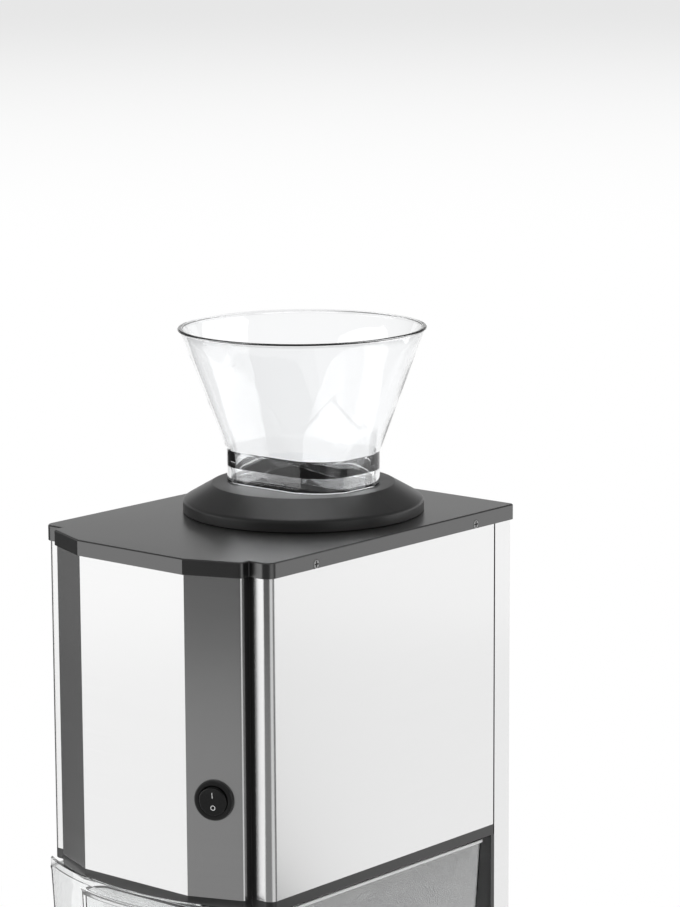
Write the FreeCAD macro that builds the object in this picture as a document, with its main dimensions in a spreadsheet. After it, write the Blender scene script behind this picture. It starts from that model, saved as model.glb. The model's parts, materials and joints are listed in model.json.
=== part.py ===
import FreeCAD, Part
import math
import os
import Sketcher

# A bar ice crusher: a steel head on a rear column, a lift-off clear hopper, a geared motor
# that turns a bladed rotor through fixed combs, and a clear drawer below that catches the ice.
# Frame: millimetres, +X right, +Y back, +Z up, origin under the middle of the whole object.

SIZES = (
    # top cover, whose outline the whole body follows
    ("cover_width", 182.0, "top cover, side to side"),
    ("cover_depth", 251.0, "top cover, front to back"),
    ("cover_top", 351.0, "height of the cover's top above the table"),
    ("cover_rim", 9.6, "height of the cover's rim"),
    ("cover_plate", 2.6, "thickness of the cover's plate"),
    ("cover_wall", 1.2, "thickness of the cover's rim"),
    ("facet_angle", 22.0, "angle between the front and a corner facet"),
    ("facet_inset", 15.0, "from the cover's side to the outer end of a facet"),
    ("facet_width", 33.7, "width of a facet, seen from the front"),
    ("shoulder_back", 20.3, "from the front to the shoulder where the side panels start"),
    ("facet_round", 3.6, "radius at the outer end of a facet"),
    ("shoulder_round", 6.6, "radius of the cover's shoulder corner"),
    ("rear_round", 3.0, "radius of the cover's rear corner"),
    # sheet metal
    ("panel_inset", 1.4, "how far the panels stand inside the cover's outline"),
    ("rear_inset", 2.0, "how far the rear panel stands inside the cover's outline"),
    ("sheet", 1.0, "thickness of the sheet metal"),
    ("panel_tuck", 4.6, "how far the panels reach up inside the cover"),
    ("panel_return", 0.6, "straight lip behind the rounded end of a facet"),
    ("post_wall", 3.0, "wall of a corner post"),
    ("post_front", 3.4, "width of a corner post's front-facing strip"),
    ("post_gap", 0.2, "gap between a corner post, or the column, and the panels beside it"),
    ("rear_wrap", 19.3, "from the cover's rear to the rear edge of the side panels"),
    ("seam", 1.2, "seam between a side panel and the rear panel"),
    # middle deck and column
    ("deck_bottom", 142.0, "underside of the deck's black trim"),
    ("deck_trim", 6.6, "height of the deck's trim"),
    ("deck_plate", 3.0, "thickness of the deck's plate"),
    ("deck_wall", 3.2, "thickness of the deck's trim"),
    ("rib_height", 9.0, "height of the ribs that locate the panels"),
    ("rib_wall", 2.4, "thickness of those ribs"),
    ("rib_start", 40.6, "from the front to the ribs and curbs along the sides"),
    ("front_rib_inset", 4.3, "from the front's flat part to the ends of the rib behind it"),
    ("column_depth", 21.2, "from the cover's rear to the wall behind the drawer"),
    ("column_wall", 3.0, "wall of the rear column"),
    ("jamb", 3.1, "depth of the column's strip that shows behind the drawer"),
    ("column_flange", 12.0, "width of the column's rear flanges and top bar"),
    # base and feet
    ("foot_height", 8.0, "height of a rubber foot"),
    ("foot_radius", 9.5, "radius of a rubber foot at its top"),
    ("foot_tip_radius", 8.0, "radius of a rubber foot at the table"),
    ("foot_inset", 20.0, "from the base's edges to a foot's centre"),
    ("base_height", 12.7, "height of the base without its curbs"),
    ("base_wall", 3.0, "wall of the base"),
    ("curb_height", 7.3, "height of the curbs beside the drawer"),
    ("curb_wall", 3.4, "width of those curbs"),
    # drawer
    ("drawer_bow", 6.0, "how far the drawer's front stands out past the cover"),
    ("bow_radius", 190.0, "radius of the drawer's bowed front"),
    ("drawer_inset", 5.4, "from the cover's side to the drawer's side at its top"),
    ("drawer_rear_gap", 2.8, "gap between the drawer's top and the wall behind it"),
    ("drawer_top_gap", 2.5, "gap between the drawer's sides and the deck"),
    ("drawer_float", 0.3, "gap between the drawer and the base"),
    ("drawer_wall", 2.4, "wall of the drawer"),
    ("drawer_front_wall", 3.4, "wall of the drawer's front"),
    ("draft_angle", 2.6, "draft of the drawer's walls"),
    ("drawer_round", 3.6, "radius of the drawer's rear corners"),
    ("drawer_front_round", 5.0, "radius of the drawer's front corners"),
    ("lip_rise", 5.0, "how far the drawer's front stands above its sides"),
    ("lip_wall", 2.2, "thickness of that raised front"),
    ("bead_height", 1.6, "height of the bead round the drawer's top edge"),
    ("bead_width", 1.0, "how far that bead stands out"),
    ("grip_half", 42.0, "half width of the drawer's grip recess"),
    ("grip_drop", 6.5, "from the drawer's top down to the grip recess"),
    ("grip_height", 32.0, "height of the grip recess"),
    ("grip_depth", 20.0, "depth of the grip recess behind the bow"),
    ("grip_wall", 2.4, "wall round the grip recess"),
    ("grip_round", 8.0, "corner radius of the grip recess"),
    # hopper and its collar
    ("throat_back", 155.4, "from the cover's front to the hopper's axis"),
    ("collar_radius", 74.4, "radius of the collar"),
    ("collar_band", 5.6, "height of the collar's upright band"),
    ("collar_bevel", 1.0, "bevel above that band"),
    ("collar_rise", 17.4, "height of the collar"),
    ("collar_flat", 56.4, "radius of the collar's flat top"),
    ("collar_wall", 3.0, "wall of the collar"),
    ("skirt_half_x", 46.5, "half width of the hopper's skirt"),
    ("skirt_half_y", 34.5, "half depth of the hopper's skirt"),
    ("skirt_round", 26.0, "corner radius of the hopper's skirt"),
    ("skirt_height", 19.6, "height of the hopper's skirt"),
    ("hopper_wall", 2.2, "wall of the hopper"),
    ("hopper_height", 96.6, "height of the hopper above the collar"),
    ("rim_inset", 1.1, "from the collar's edge in to the hopper's rim, at its sides"),
    ("rim_stretch", 2.5, "how much further the hopper's rim reaches front and back"),
    ("rim_flat", 1.8, "half length of the straight stretches in the hopper's rim"),
    ("rim_bead", 0.7, "how far the bead round the hopper's rim stands out"),
    ("rim_bead_height", 2.0, "height of that bead"),
    ("spout_depth", 8.4, "how far the hopper's spout reaches into the collar"),
    ("spout_taper", 6.1, "how much the spout is narrower than the skirt, each side"),
    ("spout_gap", 0.5, "gap between the spout and the collar's throat"),
    ("seat_gap", 0.2, "gap under the hopper's skirt"),
    # crusher
    ("chamber_half", 42.0, "half width inside the crushing chamber"),
    ("chamber_length", 62.0, "length inside the crushing chamber, along the rotor"),
    ("chamber_wall", 6.0, "wall of the crushing chamber"),
    ("rotor_drop", 64.0, "from the cover's top down to the rotor's axis"),
    ("chamber_drop", 51.0, "from the rotor's axis down to the bottom of the crushing chamber"),
    ("shaft_radius", 6.0, "radius of the rotor's shaft at its bushes"),
    ("shaft_hex", 7.0, "half of the across-flats size of the shaft's hexagon"),
    ("nose_hex", 5.0, "half of the across-flats size of the shaft's front end"),
    ("running_gap", 0.05, "radial clearance of a shaft in its bush"),
    ("seat_play", 0.05, "radial clearance of a piece that sits fast on its shaft"),
    ("bush_wall", 4.0, "wall of the rotor's bushes"),
    ("bush_flange", 1.5, "thickness of a bush's flange"),
    ("blade_count", 5.0, "number of blades"),
    ("blade_pitch", 11.0, "spacing of the blades along the shaft"),
    ("blade_thick", 4.0, "thickness of a blade"),
    ("blade_hub", 13.0, "radius of a blade's hub"),
    ("blade_tip", 28.0, "radius over a blade's teeth"),
    ("blade_angle", 60.0, "angle between one blade and the next"),
    ("tooth_count", 4.0, "teeth on a blade"),
    ("tooth_hook", 5.0, "how far a tooth's tip leans into its cut"),
    ("tooth_land", 4.0, "width of a tooth's tip"),
    ("tooth_relief", 0.8, "how far a tooth's tip falls away behind its edge"),
    ("tooth_throat", 19.6, "height of the hollow in a tooth's front"),
    ("tooth_throat_lean", 1.5, "how far that hollow leans into the cut"),
    ("tooth_root", 9.0, "height at which a tooth starts, inside the hub"),
    ("tooth_front_root", 6.5, "where a tooth's front starts"),
    ("tooth_back_root", 8.0, "where a tooth's back starts"),
    ("spacer_radius", 11.5, "radius of the spacers between the blades"),
    ("end_play", 0.25, "axial clearance at each spacer"),
    ("comb_plate", 3.5, "thickness of a comb's back plate"),
    ("comb_drop", 20.0, "how far a comb reaches below the rotor's axis"),
    ("comb_rise", 9.0, "how far a comb reaches above the rotor's axis"),
    ("finger_thick", 4.0, "thickness of a comb's fingers"),
    ("finger_root", 16.0, "height of a finger at its root"),
    ("finger_tip", 6.0, "height of a finger at its tip"),
    ("finger_gap", 2.0, "gap between a finger's tip and the spacers"),
    ("chute_wall", 2.2, "wall of the ice chute"),
    ("chute_gap", 0.3, "gap between the chute and the deck's opening"),
    ("chute_flange", 4.0, "width of the chute's flange"),
    ("chute_dip", 3.0, "how far the chute reaches below the deck's plate"),
    ("bracket_wall", 2.0, "thickness of the crusher's support brackets"),
    ("bracket_foot", 14.0, "width of a bracket's foot"),
    ("bracket_length", 52.7, "length of a bracket"),
    ("bracket_rise", 30.0, "how far a bracket overlaps the chamber's side"),
    ("bolt_spread", 37.2, "distance between the two bolts in a row"),
    ("bolt_bite", 4.8, "how deep a bolt goes into the part behind its bracket"),
    # gear train
    ("gear_module", 1.5, "module of the slow gear pair"),
    ("fast_module", 1.25, "module of the fast gear pair"),
    ("main_teeth", 48.0, "teeth of the main gear"),
    ("small_teeth", 12.0, "teeth of the idler's small gear"),
    ("large_teeth", 44.0, "teeth of the idler's large gear"),
    ("pinion_teeth", 11.0, "teeth of the motor pinion"),
    ("idler_angle", 23.6, "angle of the idler's centre line from straight down"),
    ("motor_angle", 54.5, "angle of the motor's centre line from straight down"),
    ("backlash", 0.3, "play of the tooth flanks"),
    ("pressure_angle", 20.0, "pressure angle of the teeth"),
    ("addendum", 0.9, "height of a tooth above the pitch circle, in modules"),
    ("dedendum", 1.2, "depth of a tooth below the pitch circle, in modules"),
    ("tooth_sink", 0.3, "how far a gear's tooth starts inside its root circle"),
    ("flank_margin", 0.005, "how far the flanks start outside the base circle"),
    ("gear_hub", 12.0, "radius of the main gear's hub"),
    ("web_inset", 6.0, "from the main gear's pitch circle to its thinner web"),
    ("web_depth", 3.0, "depth of the hollow on each side of that web"),
    ("main_face", 12.0, "face width of the main gear"),
    ("fast_face", 7.0, "face width of the idler's large gear"),
    ("gear_gap", 2.0, "axial gap between the two gear stages"),
    ("pin_radius", 3.0, "radius of the idler's pin"),
    ("plate_thick", 4.0, "thickness of the gearbox plate"),
    ("case_wall", 3.0, "wall of the gearbox case"),
    ("case_margin", 3.5, "room between the gears and the case's wall"),
    ("lug_radius", 5.0, "radius of the lugs round the screws"),
    ("lug_angle_right", 45.0, "angle of the upper right lug"),
    ("lug_angle_left", 135.0, "angle of the upper left lug"),
    ("lug_angle_low", 205.0, "angle of the lower left lug"),
    ("lug_angle_idler", -35.0, "angle of the lug beside the idler"),
    # motor
    ("stator_radius", 30.0, "radius of the motor's stator"),
    ("stator_bore", 16.6, "bore radius of the motor's stator"),
    ("stator_length", 30.0, "length of the motor's stator"),
    ("air_gap", 0.4, "air gap round the armature"),
    ("coil_length", 8.0, "length of each winding head"),
    ("coil_inner", 18.5, "inner radius of a winding head"),
    ("coil_outer", 27.0, "outer radius of a winding head"),
    ("bell_length", 11.0, "length of a motor end bell"),
    ("bell_wall", 2.6, "wall of a motor end bell"),
    ("motor_shaft", 4.0, "radius of the motor's shaft"),
    ("motor_bush_wall", 3.0, "wall of the motor's bushes"),
    ("motor_bush_length", 7.0, "length of the motor's bushes"),
    ("fan_radius", 25.0, "radius of the cooling fan"),
    ("fan_hub", 8.0, "radius of the fan's hub"),
    ("fan_width", 5.0, "width of the cooling fan"),
    ("fan_blade", 1.6, "thickness of a fan blade"),
    ("fan_blades", 8.0, "number of fan blades"),
    ("fan_gap", 1.5, "gap between the fan and the end bell"),
    # switch on the right facet
    ("switch_along", 17.4, "from the facet's front corner to the switch's centre"),
    ("switch_height", 208.2, "height of the switch's centre"),
    ("bezel_radius", 12.2, "radius of the switch's bezel"),
    ("bezel_thick", 2.2, "how far the bezel stands off the panel"),
    ("switch_radius", 10.0, "radius of the switch's body"),
    ("switch_depth", 20.0, "depth of the switch's body behind the panel"),
    ("switch_fit", 0.15, "clearance of the switch's body in the panel"),
    ("rocker_radius", 8.6, "radius of the rocker"),
    ("rocker_gap", 0.4, "gap round the rocker"),
    ("rocker_front", 3.8, "how far the rocker's face stands off the panel"),
    ("rocker_half_angle", 8.0, "tilt of the rocker each side of level"),
    ("rocker_pivot", 1.0, "how far the rocker's axis stands in front of the panel"),
    ("rocker_thick", 5.3, "thickness of the rocker"),
    ("rocker_room", 6.0, "depth of the hollow behind the rocker"),
    ("rocker_pin", 0.8, "radius of the pin that the rocker tilts on"),
    ("rocker_pin_bite", 1.2, "how far that pin reaches into the bezel"),
    ("terminal_length", 8.0, "length of the switch's terminals"),
    ("terminal_width", 6.3, "width of the switch's terminals"),
    ("terminal_thick", 0.8, "thickness of the switch's terminals"),
    ("terminal_height", 4.5, "distance of each terminal from the switch's middle"),
    # interlock switch behind the drawer
    ("lock_across", 30.0, "place of the interlock switch from the middle"),
    ("lock_drop", 20.0, "from the deck's underside down to the interlock's plunger"),
    ("plunger_radius", 2.2, "radius of the interlock's plunger"),
    ("plunger_gap", 0.3, "gap round the plunger and at its tip"),
    ("plunger_travel", 2.5, "how far the plunger springs out"),
    ("lock_width", 20.0, "width of the interlock switch"),
    ("lock_tall", 16.0, "height of the interlock switch"),
    ("lock_depth", 10.0, "depth of the interlock switch"),
    # cord gland and vents in the rear panel
    ("gland_inset", 31.0, "from the cover's side to the cord gland"),
    ("gland_height", 60.0, "height of the cord gland"),
    ("gland_bore", 3.75, "bore radius of the cord gland"),
    ("gland_radius", 6.5, "radius of the gland's barrel"),
    ("gland_flange", 9.0, "radius of the gland's flange"),
    ("gland_length", 14.0, "length of the gland behind the panel"),
    ("gland_face", 1.6, "thickness of the gland's flange"),
    ("vent_count", 7.0, "vent slots in each column"),
    ("vent_pitch", 9.0, "spacing of the vent slots"),
    ("vent_length", 46.0, "length of a vent slot"),
    ("vent_width", 3.2, "width of a vent slot"),
    ("vent_across", 34.0, "middle of a column of vent slots"),
    ("vent_low", 190.0, "height of the lowest vent slot"),
    # screws
    ("screw_radius", 1.5, "shank radius of the small screws"),
    ("screw_head", 2.75, "head radius of the small screws"),
    ("screw_head_height", 1.6, "head height of the small screws"),
    ("cross_reach", 1.95, "half length of the cross in a screw's head"),
    ("cross_half", 0.42, "half width of that cross"),
    ("cross_depth", 1.05, "depth of that cross"),
    ("screw_length", 7.0, "length of the small screws"),
    ("long_screw", 14.0, "length of the screws that hold the column to the base"),
    ("screw_gap", 0.15, "radial clearance round a screw"),
    ("screw_drop", 7.0, "from the cover's top to its side screws"),
    ("screw_front", 62.2, "from the cover's front to its front side screws"),
    ("screw_rear", 39.0, "from the cover's rear to its rear side screws"),
    ("rear_screw_rows", 4.0, "screws down each side of the rear panel"),
    ("rear_screw_margin", 14.0, "from the rear panel's ends to the nearest screws"),
    ("bolt_radius", 2.0, "shank radius of the large screws"),
    ("bolt_head", 3.6, "head radius of the large screws"),
    ("bolt_head_height", 2.4, "head height of the large screws"),
)

V = FreeCAD.Vector
HALF_TURN = 180
QUARTER_TURN = 90
doc = FreeCAD.newDocument("IceCrusher")
sheet = doc.addObject("Spreadsheet::Sheet", "Sizes")


class Size:
    """A length, angle or count that carries its number and the sheet expression behind it."""

    def __init__(self, text, number):
        self.text = text
        self.number = number

    def __add__(self, other):
        return Size("(" + self.text + " + " + text_of(other) + ")", self.number + number_of(other))

    def __radd__(self, other):
        return as_size(other) + self

    def __sub__(self, other):
        return Size("(" + self.text + " - " + text_of(other) + ")", self.number - number_of(other))

    def __rsub__(self, other):
        return as_size(other) - self

    def __mul__(self, other):
        return Size("(" + self.text + " * " + text_of(other) + ")", self.number * number_of(other))

    def __rmul__(self, other):
        return self * other

    def __truediv__(self, other):
        return Size("(" + self.text + " / " + text_of(other) + ")", self.number / number_of(other))

    def __rtruediv__(self, other):
        return as_size(other) / self

    def __neg__(self):
        return self * -1


def as_size(item):
    return item if isinstance(item, Size) else Size(repr(float(item)), float(item))


def text_of(item):
    return as_size(item).text


def number_of(item):
    return as_size(item).number


def sine(angle):
    return Size("sin(" + angle.text + ")", math.sin(math.radians(angle.number)))


def cosine(angle):
    return Size("cos(" + angle.text + ")", math.cos(math.radians(angle.number)))


def tangent(angle):
    return Size("tan(" + angle.text + ")", math.tan(math.radians(angle.number)))


def root(item):
    return Size("sqrt(" + item.text + ")", math.sqrt(item.number))


def larger(one, other):
    return one if one.number > other.number else other


class Values:
    """The sheet's cells by name."""


d = Values()
for row, (alias, number, note) in enumerate(SIZES, start=1):
    sheet.set("A%d" % row, note)
    sheet.set("B%d" % row, str(number))
    sheet.setAlias("B%d" % row, alias)
    setattr(d, alias, Size("Sizes." + alias, number))
doc.recompute()

# ---------------------------------------------------------------- sketches and pieces

PLANES = {
    "XY": ("XY_Plane", 1),
    "XZ": ("XZ_Plane", -1),
}
PARTS = {}


def bind(item, prop, size):
    item.setExpression(prop, text_of(size))


class Plan:
    """A sketch whose constraints are gathered and then added in one go."""

    def __init__(self, sketch):
        self.sketch = sketch
        self.rules = []
        self.sizes = []

    def add(self, shape, guide=False):
        return self.sketch.addGeometry(shape, guide)

    def rule(self, constraint, size=None):
        self.rules.append(constraint)
        self.sizes.append(size)

    def finish(self):
        self.sketch.addConstraint(self.rules)
        for index, size in enumerate(self.sizes):
            if isinstance(size, Size):
                self.sketch.setExpression("Constraints[%d]" % index, size.text)


def datum(plan, kind, geometry, position, size):
    """A distance from the sketch's origin, or a radius, driven by the sheet."""
    if kind == "Radius":
        constraint = Sketcher.Constraint(kind, geometry, number_of(size))
    else:
        constraint = Sketcher.Constraint(kind, -1, 1, geometry, position, number_of(size))
    plan.rule(constraint, size)


def pin_point(plan, geometry, position, x, y):
    datum(plan, "DistanceX", geometry, position, x)
    datum(plan, "DistanceY", geometry, position, y)


def draw_outline(plan, corners):
    """A closed outline of straight sides; a corner with a third value is rounded to that radius."""
    count = len(corners)
    flat = [V(number_of(c[0]), number_of(c[1]), 0) for c in corners]
    ends = []
    arcs = {}
    for i, corner in enumerate(corners):
        here = flat[i]
        if len(corner) == 2:
            ends.append((here, here))
            continue
        back = (flat[i - 1] - here).normalize()
        ahead = (flat[(i + 1) % count] - here).normalize()
        half = math.acos(max(-1.0, min(1.0, back.dot(ahead)))) / 2
        radius = number_of(corner[2])
        reach = radius / math.tan(half)
        start = here + back * reach
        end = here + ahead * reach
        centre = here + (back + ahead).normalize() * (radius / math.sin(half))
        left = back.x * ahead.y - back.y * ahead.x < 0
        ends.append((start, end))
        arcs[i] = (centre, radius, start, end, left)
    lines = []
    for i in range(count):
        segment = Part.LineSegment(ends[i][1], ends[(i + 1) % count][0])
        lines.append(plan.add(segment, False))
    for i, corner in enumerate(corners):
        before = lines[i - 1]
        after = lines[i]
        if i not in arcs:
            plan.rule(Sketcher.Constraint("Coincident", before, 2, after, 1))
            pin_point(plan, after, 1, corner[0], corner[1])
            continue
        centre, radius, start, end, left = arcs[i]
        first, last = (start, end) if left else (end, start)
        angle_first = math.atan2(first.y - centre.y, first.x - centre.x)
        angle_last = math.atan2(last.y - centre.y, last.x - centre.x)
        if angle_last < angle_first:
            angle_last += 2 * math.pi
        circle = Part.Circle(centre, V(0, 0, 1), radius)
        arc = plan.add(Part.ArcOfCircle(circle, angle_first, angle_last))
        corner_point = plan.add(Part.Point(flat[i]), True)
        pin_point(plan, corner_point, 1, corner[0], corner[1])
        plan.rule(Sketcher.Constraint("PointOnObject", corner_point, 1, before))
        plan.rule(Sketcher.Constraint("PointOnObject", corner_point, 1, after))
        start_end, end_end = (1, 2) if left else (2, 1)
        plan.rule(Sketcher.Constraint("Tangent", before, 2, arc, start_end))
        plan.rule(Sketcher.Constraint("Tangent", arc, end_end, after, 1))
        datum(plan, "Radius", arc, 0, corner[2])


def draw_circles(plan, circles):
    """Circles given as x, y and radius."""
    for x, y, radius in circles:
        circle = Part.Circle(V(number_of(x), number_of(y), 0), V(0, 0, 1), number_of(radius))
        index = plan.add(circle)
        pin_point(plan, index, 3, x, y)
        datum(plan, "Radius", index, 0, radius)


def draw_bowed(plan, half, rear, bow_front, bow_radius, front_round, rear_round):
    """The drawer's plan: straight sides and back, and a bowed front, with rounded corners."""
    half_n = number_of(half)
    rear_n = number_of(rear)
    bow_n = number_of(bow_radius)
    front_n = number_of(front_round)
    rear_r = number_of(rear_round)
    centre_y = number_of(bow_front) + bow_n
    inner = bow_n - front_n
    corner_y = centre_y - math.sqrt(inner * inner - (half_n - front_n) ** 2)
    touch_x = (half_n - front_n) * bow_n / inner
    touch_y = centre_y + (corner_y - centre_y) * bow_n / inner
    up = V(0, 0, 1)
    bow_angle = math.atan2(touch_y - centre_y, touch_x)
    bow_circle = Part.Circle(V(0, centre_y, 0), up, bow_n)
    bow = plan.add(Part.ArcOfCircle(bow_circle, -math.pi - bow_angle, bow_angle))
    right_circle = Part.Circle(V(half_n - front_n, corner_y, 0), up, front_n)
    right_front = plan.add(Part.ArcOfCircle(right_circle, bow_angle, 0))
    rear_y = rear_n - rear_r
    side_x = half_n - rear_r
    right = plan.add(Part.LineSegment(V(half_n, corner_y, 0), V(half_n, rear_y, 0)))
    rear_right_circle = Part.Circle(V(side_x, rear_y, 0), up, rear_r)
    rear_right = plan.add(Part.ArcOfCircle(rear_right_circle, 0, math.pi / 2))
    back = plan.add(Part.LineSegment(V(side_x, rear_n, 0), V(-side_x, rear_n, 0)))
    rear_left_circle = Part.Circle(V(-side_x, rear_y, 0), up, rear_r)
    rear_left = plan.add(Part.ArcOfCircle(rear_left_circle, math.pi / 2, math.pi))
    left = plan.add(Part.LineSegment(V(-half_n, rear_y, 0), V(-half_n, corner_y, 0)))
    left_circle = Part.Circle(V(front_n - half_n, corner_y, 0), up, front_n)
    left_front = plan.add(Part.ArcOfCircle(left_circle, math.pi, math.pi - bow_angle))
    chain = (bow, right_front, right, rear_right, back, rear_left, left, left_front)
    for here, following in zip(chain, chain[1:] + chain[:1]):
        plan.rule(Sketcher.Constraint("Tangent", here, 2, following, 1))
    plan.rule(Sketcher.Constraint("Vertical", right))
    plan.rule(Sketcher.Constraint("Vertical", left))
    plan.rule(Sketcher.Constraint("Horizontal", back))
    datum(plan, "DistanceX", right, 1, half)
    datum(plan, "DistanceX", left, 1, -half)
    datum(plan, "DistanceY", back, 1, rear)
    datum(plan, "DistanceX", bow, 3, 0.0)
    datum(plan, "DistanceY", bow, 3, bow_front + bow_radius)
    datum(plan, "Radius", bow, 0, bow_radius)
    datum(plan, "Radius", right_front, 0, front_round)
    datum(plan, "Radius", left_front, 0, front_round)
    datum(plan, "Radius", rear_right, 0, rear_round)
    datum(plan, "Radius", rear_left, 0, rear_round)


class Piece:
    """One sub-part: a body that is built feature by feature, between places along an axis."""

    def __init__(self, name, at=(0.0, 0.0, 0.0), turn=None, final=True):
        self.name = name
        self.body = doc.addObject("PartDesign::Body", name)
        self.body.Label = name
        if turn:
            axis, angle = turn
            rotation = FreeCAD.Rotation(V(*axis), number_of(angle))
            self.body.Placement = FreeCAD.Placement(V(*[number_of(p) for p in at]), rotation)
            bind(self.body, "Placement.Rotation.Angle", angle)
        for axis, where in zip("xyz", at):
            if isinstance(where, Size):
                bind(self.body, "Placement.Base." + axis, where)
        if final:
            PARTS[name] = self.body

    def sketch(self, plane, place, draw, *shape):
        role, sign = PLANES[plane]
        origin = [item for item in self.body.Origin.OriginFeatures if item.Role == role][0]
        sketch = self.body.newObject("Sketcher::SketchObject", self.name + "_sketch")
        sketch.AttachmentSupport = (origin, [""])
        sketch.MapMode = "FlatFace"
        bind(sketch, "AttachmentOffset.Base.z", as_size(place) * sign)
        plan = Plan(sketch)
        draw(plan, *shape)
        plan.finish()
        return sketch

    def feature(self, kind, sketch):
        feature = self.body.newObject("PartDesign::" + kind, self.name + "_" + kind.lower())
        feature.Profile = sketch
        return feature

    def pad(self, plane, low, high, draw, *shape):
        """Adds material between two places along the plane's normal."""
        start = high if PLANES[plane][1] < 0 else low
        feature = self.feature("Pad", self.sketch(plane, start, draw, *shape))
        bind(feature, "Length", as_size(high) - low)
        return feature

    def pocket(self, plane, low, high, draw, *shape):
        """Takes material away between two places along the plane's normal."""
        start = low if PLANES[plane][1] < 0 else high
        feature = self.feature("Pocket", self.sketch(plane, start, draw, *shape))
        bind(feature, "Length", as_size(high) - low)
        return feature

    def turned(self, kind, corners):
        """A Revolution or Groove of a profile given as radius and height, about the local Z axis."""
        sketch = self.sketch("XZ", 0.0, draw_outline, corners)
        feature = self.feature(kind, sketch)
        feature.ReferenceAxis = (sketch, ["V_Axis"])
        feature.Angle = 360
        return feature

    def loft(self, kind, draw, sections):
        """An AdditiveLoft or SubtractiveLoft with straight flanks through sections on XY planes."""
        sketches = [self.sketch("XY", where, draw, *shape) for where, shape in sections]
        feature = self.feature(kind, sketches[0])
        feature.Sections = sketches[1:]
        feature.Ruled = True
        return feature

    def pattern(self, feature, count):
        """Repeats a feature round the axis that its sketch faces along."""
        polar = self.body.newObject("PartDesign::PolarPattern", self.name + "_pattern")
        polar.Originals = [feature]
        polar.Axis = (feature.Profile[0], ["N_Axis"])
        polar.Angle = 360
        bind(polar, "Occurrences", count)
        self.body.Tip = polar
        return polar

    def row(self, feature, axis, count, pitch):
        """Repeats a feature along one of the body's own axes."""
        row = self.body.newObject("PartDesign::LinearPattern", self.name + "_row")
        row.Originals = [feature]
        row.Direction = ([item for item in self.body.Origin.OriginFeatures if item.Role == axis][0], [""])
        bind(row, "Occurrences", count)
        bind(row, "Length", (count - 1) * pitch)
        self.body.Tip = row
        return row


def rectangle(x_low, y_low, x_high, y_high, radius=None):
    corners = ((x_low, y_low), (x_high, y_low), (x_high, y_high), (x_low, y_high))
    if radius is None:
        return corners
    return tuple(corner + (radius,) for corner in corners)


def mirrored(corners):
    """The same outline on the left, in the same turning order."""
    return tuple((-as_size(c[0]),) + tuple(c[1:]) for c in reversed(corners))


def box(name, x_low, y_low, z_low, x_high, y_high, z_high):
    item = doc.addObject("Part::Box", name)
    for prop, low, high in (("Length", x_low, x_high), ("Width", y_low, y_high), ("Height", z_low, z_high)):
        bind(item, prop, as_size(high) - low)
    for axis, low in zip("xyz", (x_low, y_low, z_low)):
        bind(item, "Placement.Base." + axis, low)
    return item


# a rotation that turns a cylinder's own +Z to the named direction
AIM = {
    "+X": FreeCAD.Rotation(V(0, 1, 0), QUARTER_TURN),
    "-X": FreeCAD.Rotation(V(0, 1, 0), -QUARTER_TURN),
    "+Y": FreeCAD.Rotation(V(1, 0, 0), -QUARTER_TURN),
    "-Y": FreeCAD.Rotation(V(1, 0, 0), QUARTER_TURN),
    "+Z": FreeCAD.Rotation(),
    "-Z": FreeCAD.Rotation(V(1, 0, 0), 180),
}


def place(item, at, aim):
    item.Placement = FreeCAD.Placement(V(*[number_of(p) for p in at]), AIM[aim])
    for axis, low in zip("xyz", at):
        bind(item, "Placement.Base." + axis, low)
    return item


def cylinder(name, radius, length, at, aim="+Z"):
    item = doc.addObject("Part::Cylinder", name)
    bind(item, "Radius", radius)
    bind(item, "Height", length)
    return place(item, at, aim)


def cone(name, radius, far_radius, length, at, aim="+Z"):
    item = doc.addObject("Part::Cone", name)
    bind(item, "Radius1", radius)
    bind(item, "Radius2", far_radius)
    bind(item, "Height", length)
    return place(item, at, aim)


def fused(name, shapes):
    item = doc.addObject("Part::MultiFuse", name)
    item.Shapes = shapes
    return item


def cut(name, base, tool):
    item = doc.addObject("Part::Cut", name)
    item.Base = base
    item.Tool = tool
    return item


def grouped(name, shapes):
    """Separate solids that share one name."""
    item = doc.addObject("Part::Compound", name)
    item.Links = shapes
    item.Label = name
    PARTS[name] = item
    return item


def keep(name, item):
    item.Label = name
    PARTS[name] = item
    return item


def many(sketch, outlines):
    """Several closed outlines in one sketch."""
    for corners in outlines:
        draw_outline(sketch, corners)


# ---------------------------------------------------------------- places shared by the pieces

front = d.drawer_bow / 2 - d.cover_depth / 2
rear = front + d.cover_depth
half = d.cover_width / 2
facet_reach = half - d.facet_inset
front_half = facet_reach - d.facet_width
panel_half = half - d.panel_inset
panel_top = d.cover_top - d.cover_rim + d.panel_tuck
base_top = d.foot_height + d.base_height
deck_top = d.deck_bottom + d.deck_trim
side_rear = rear - d.rear_wrap
deck_rear = side_rear + d.seam
bay_rear = rear - d.column_depth
back_face = rear - d.rear_inset
rear_bend = d.rear_round - d.cover_wall
throat_y = front + d.throat_back
under_cover = d.cover_top - d.cover_plate
collar_top = d.cover_top + d.collar_rise
rotor_height = d.cover_top - d.rotor_drop
chamber_bottom = rotor_height - d.chamber_drop
lock_height = d.deck_bottom - d.lock_drop
gland_across = half - d.gland_inset


def front_corner(inset):
    return front_half - inset * tangent(d.facet_angle / 2)


def facet_end(inset):
    """The outer end of a facet, for an outline that stands inside the cover's by inset."""
    x = facet_reach - inset
    y = front + inset + (x - front_corner(inset)) * tangent(d.facet_angle)
    return x, y


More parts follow.
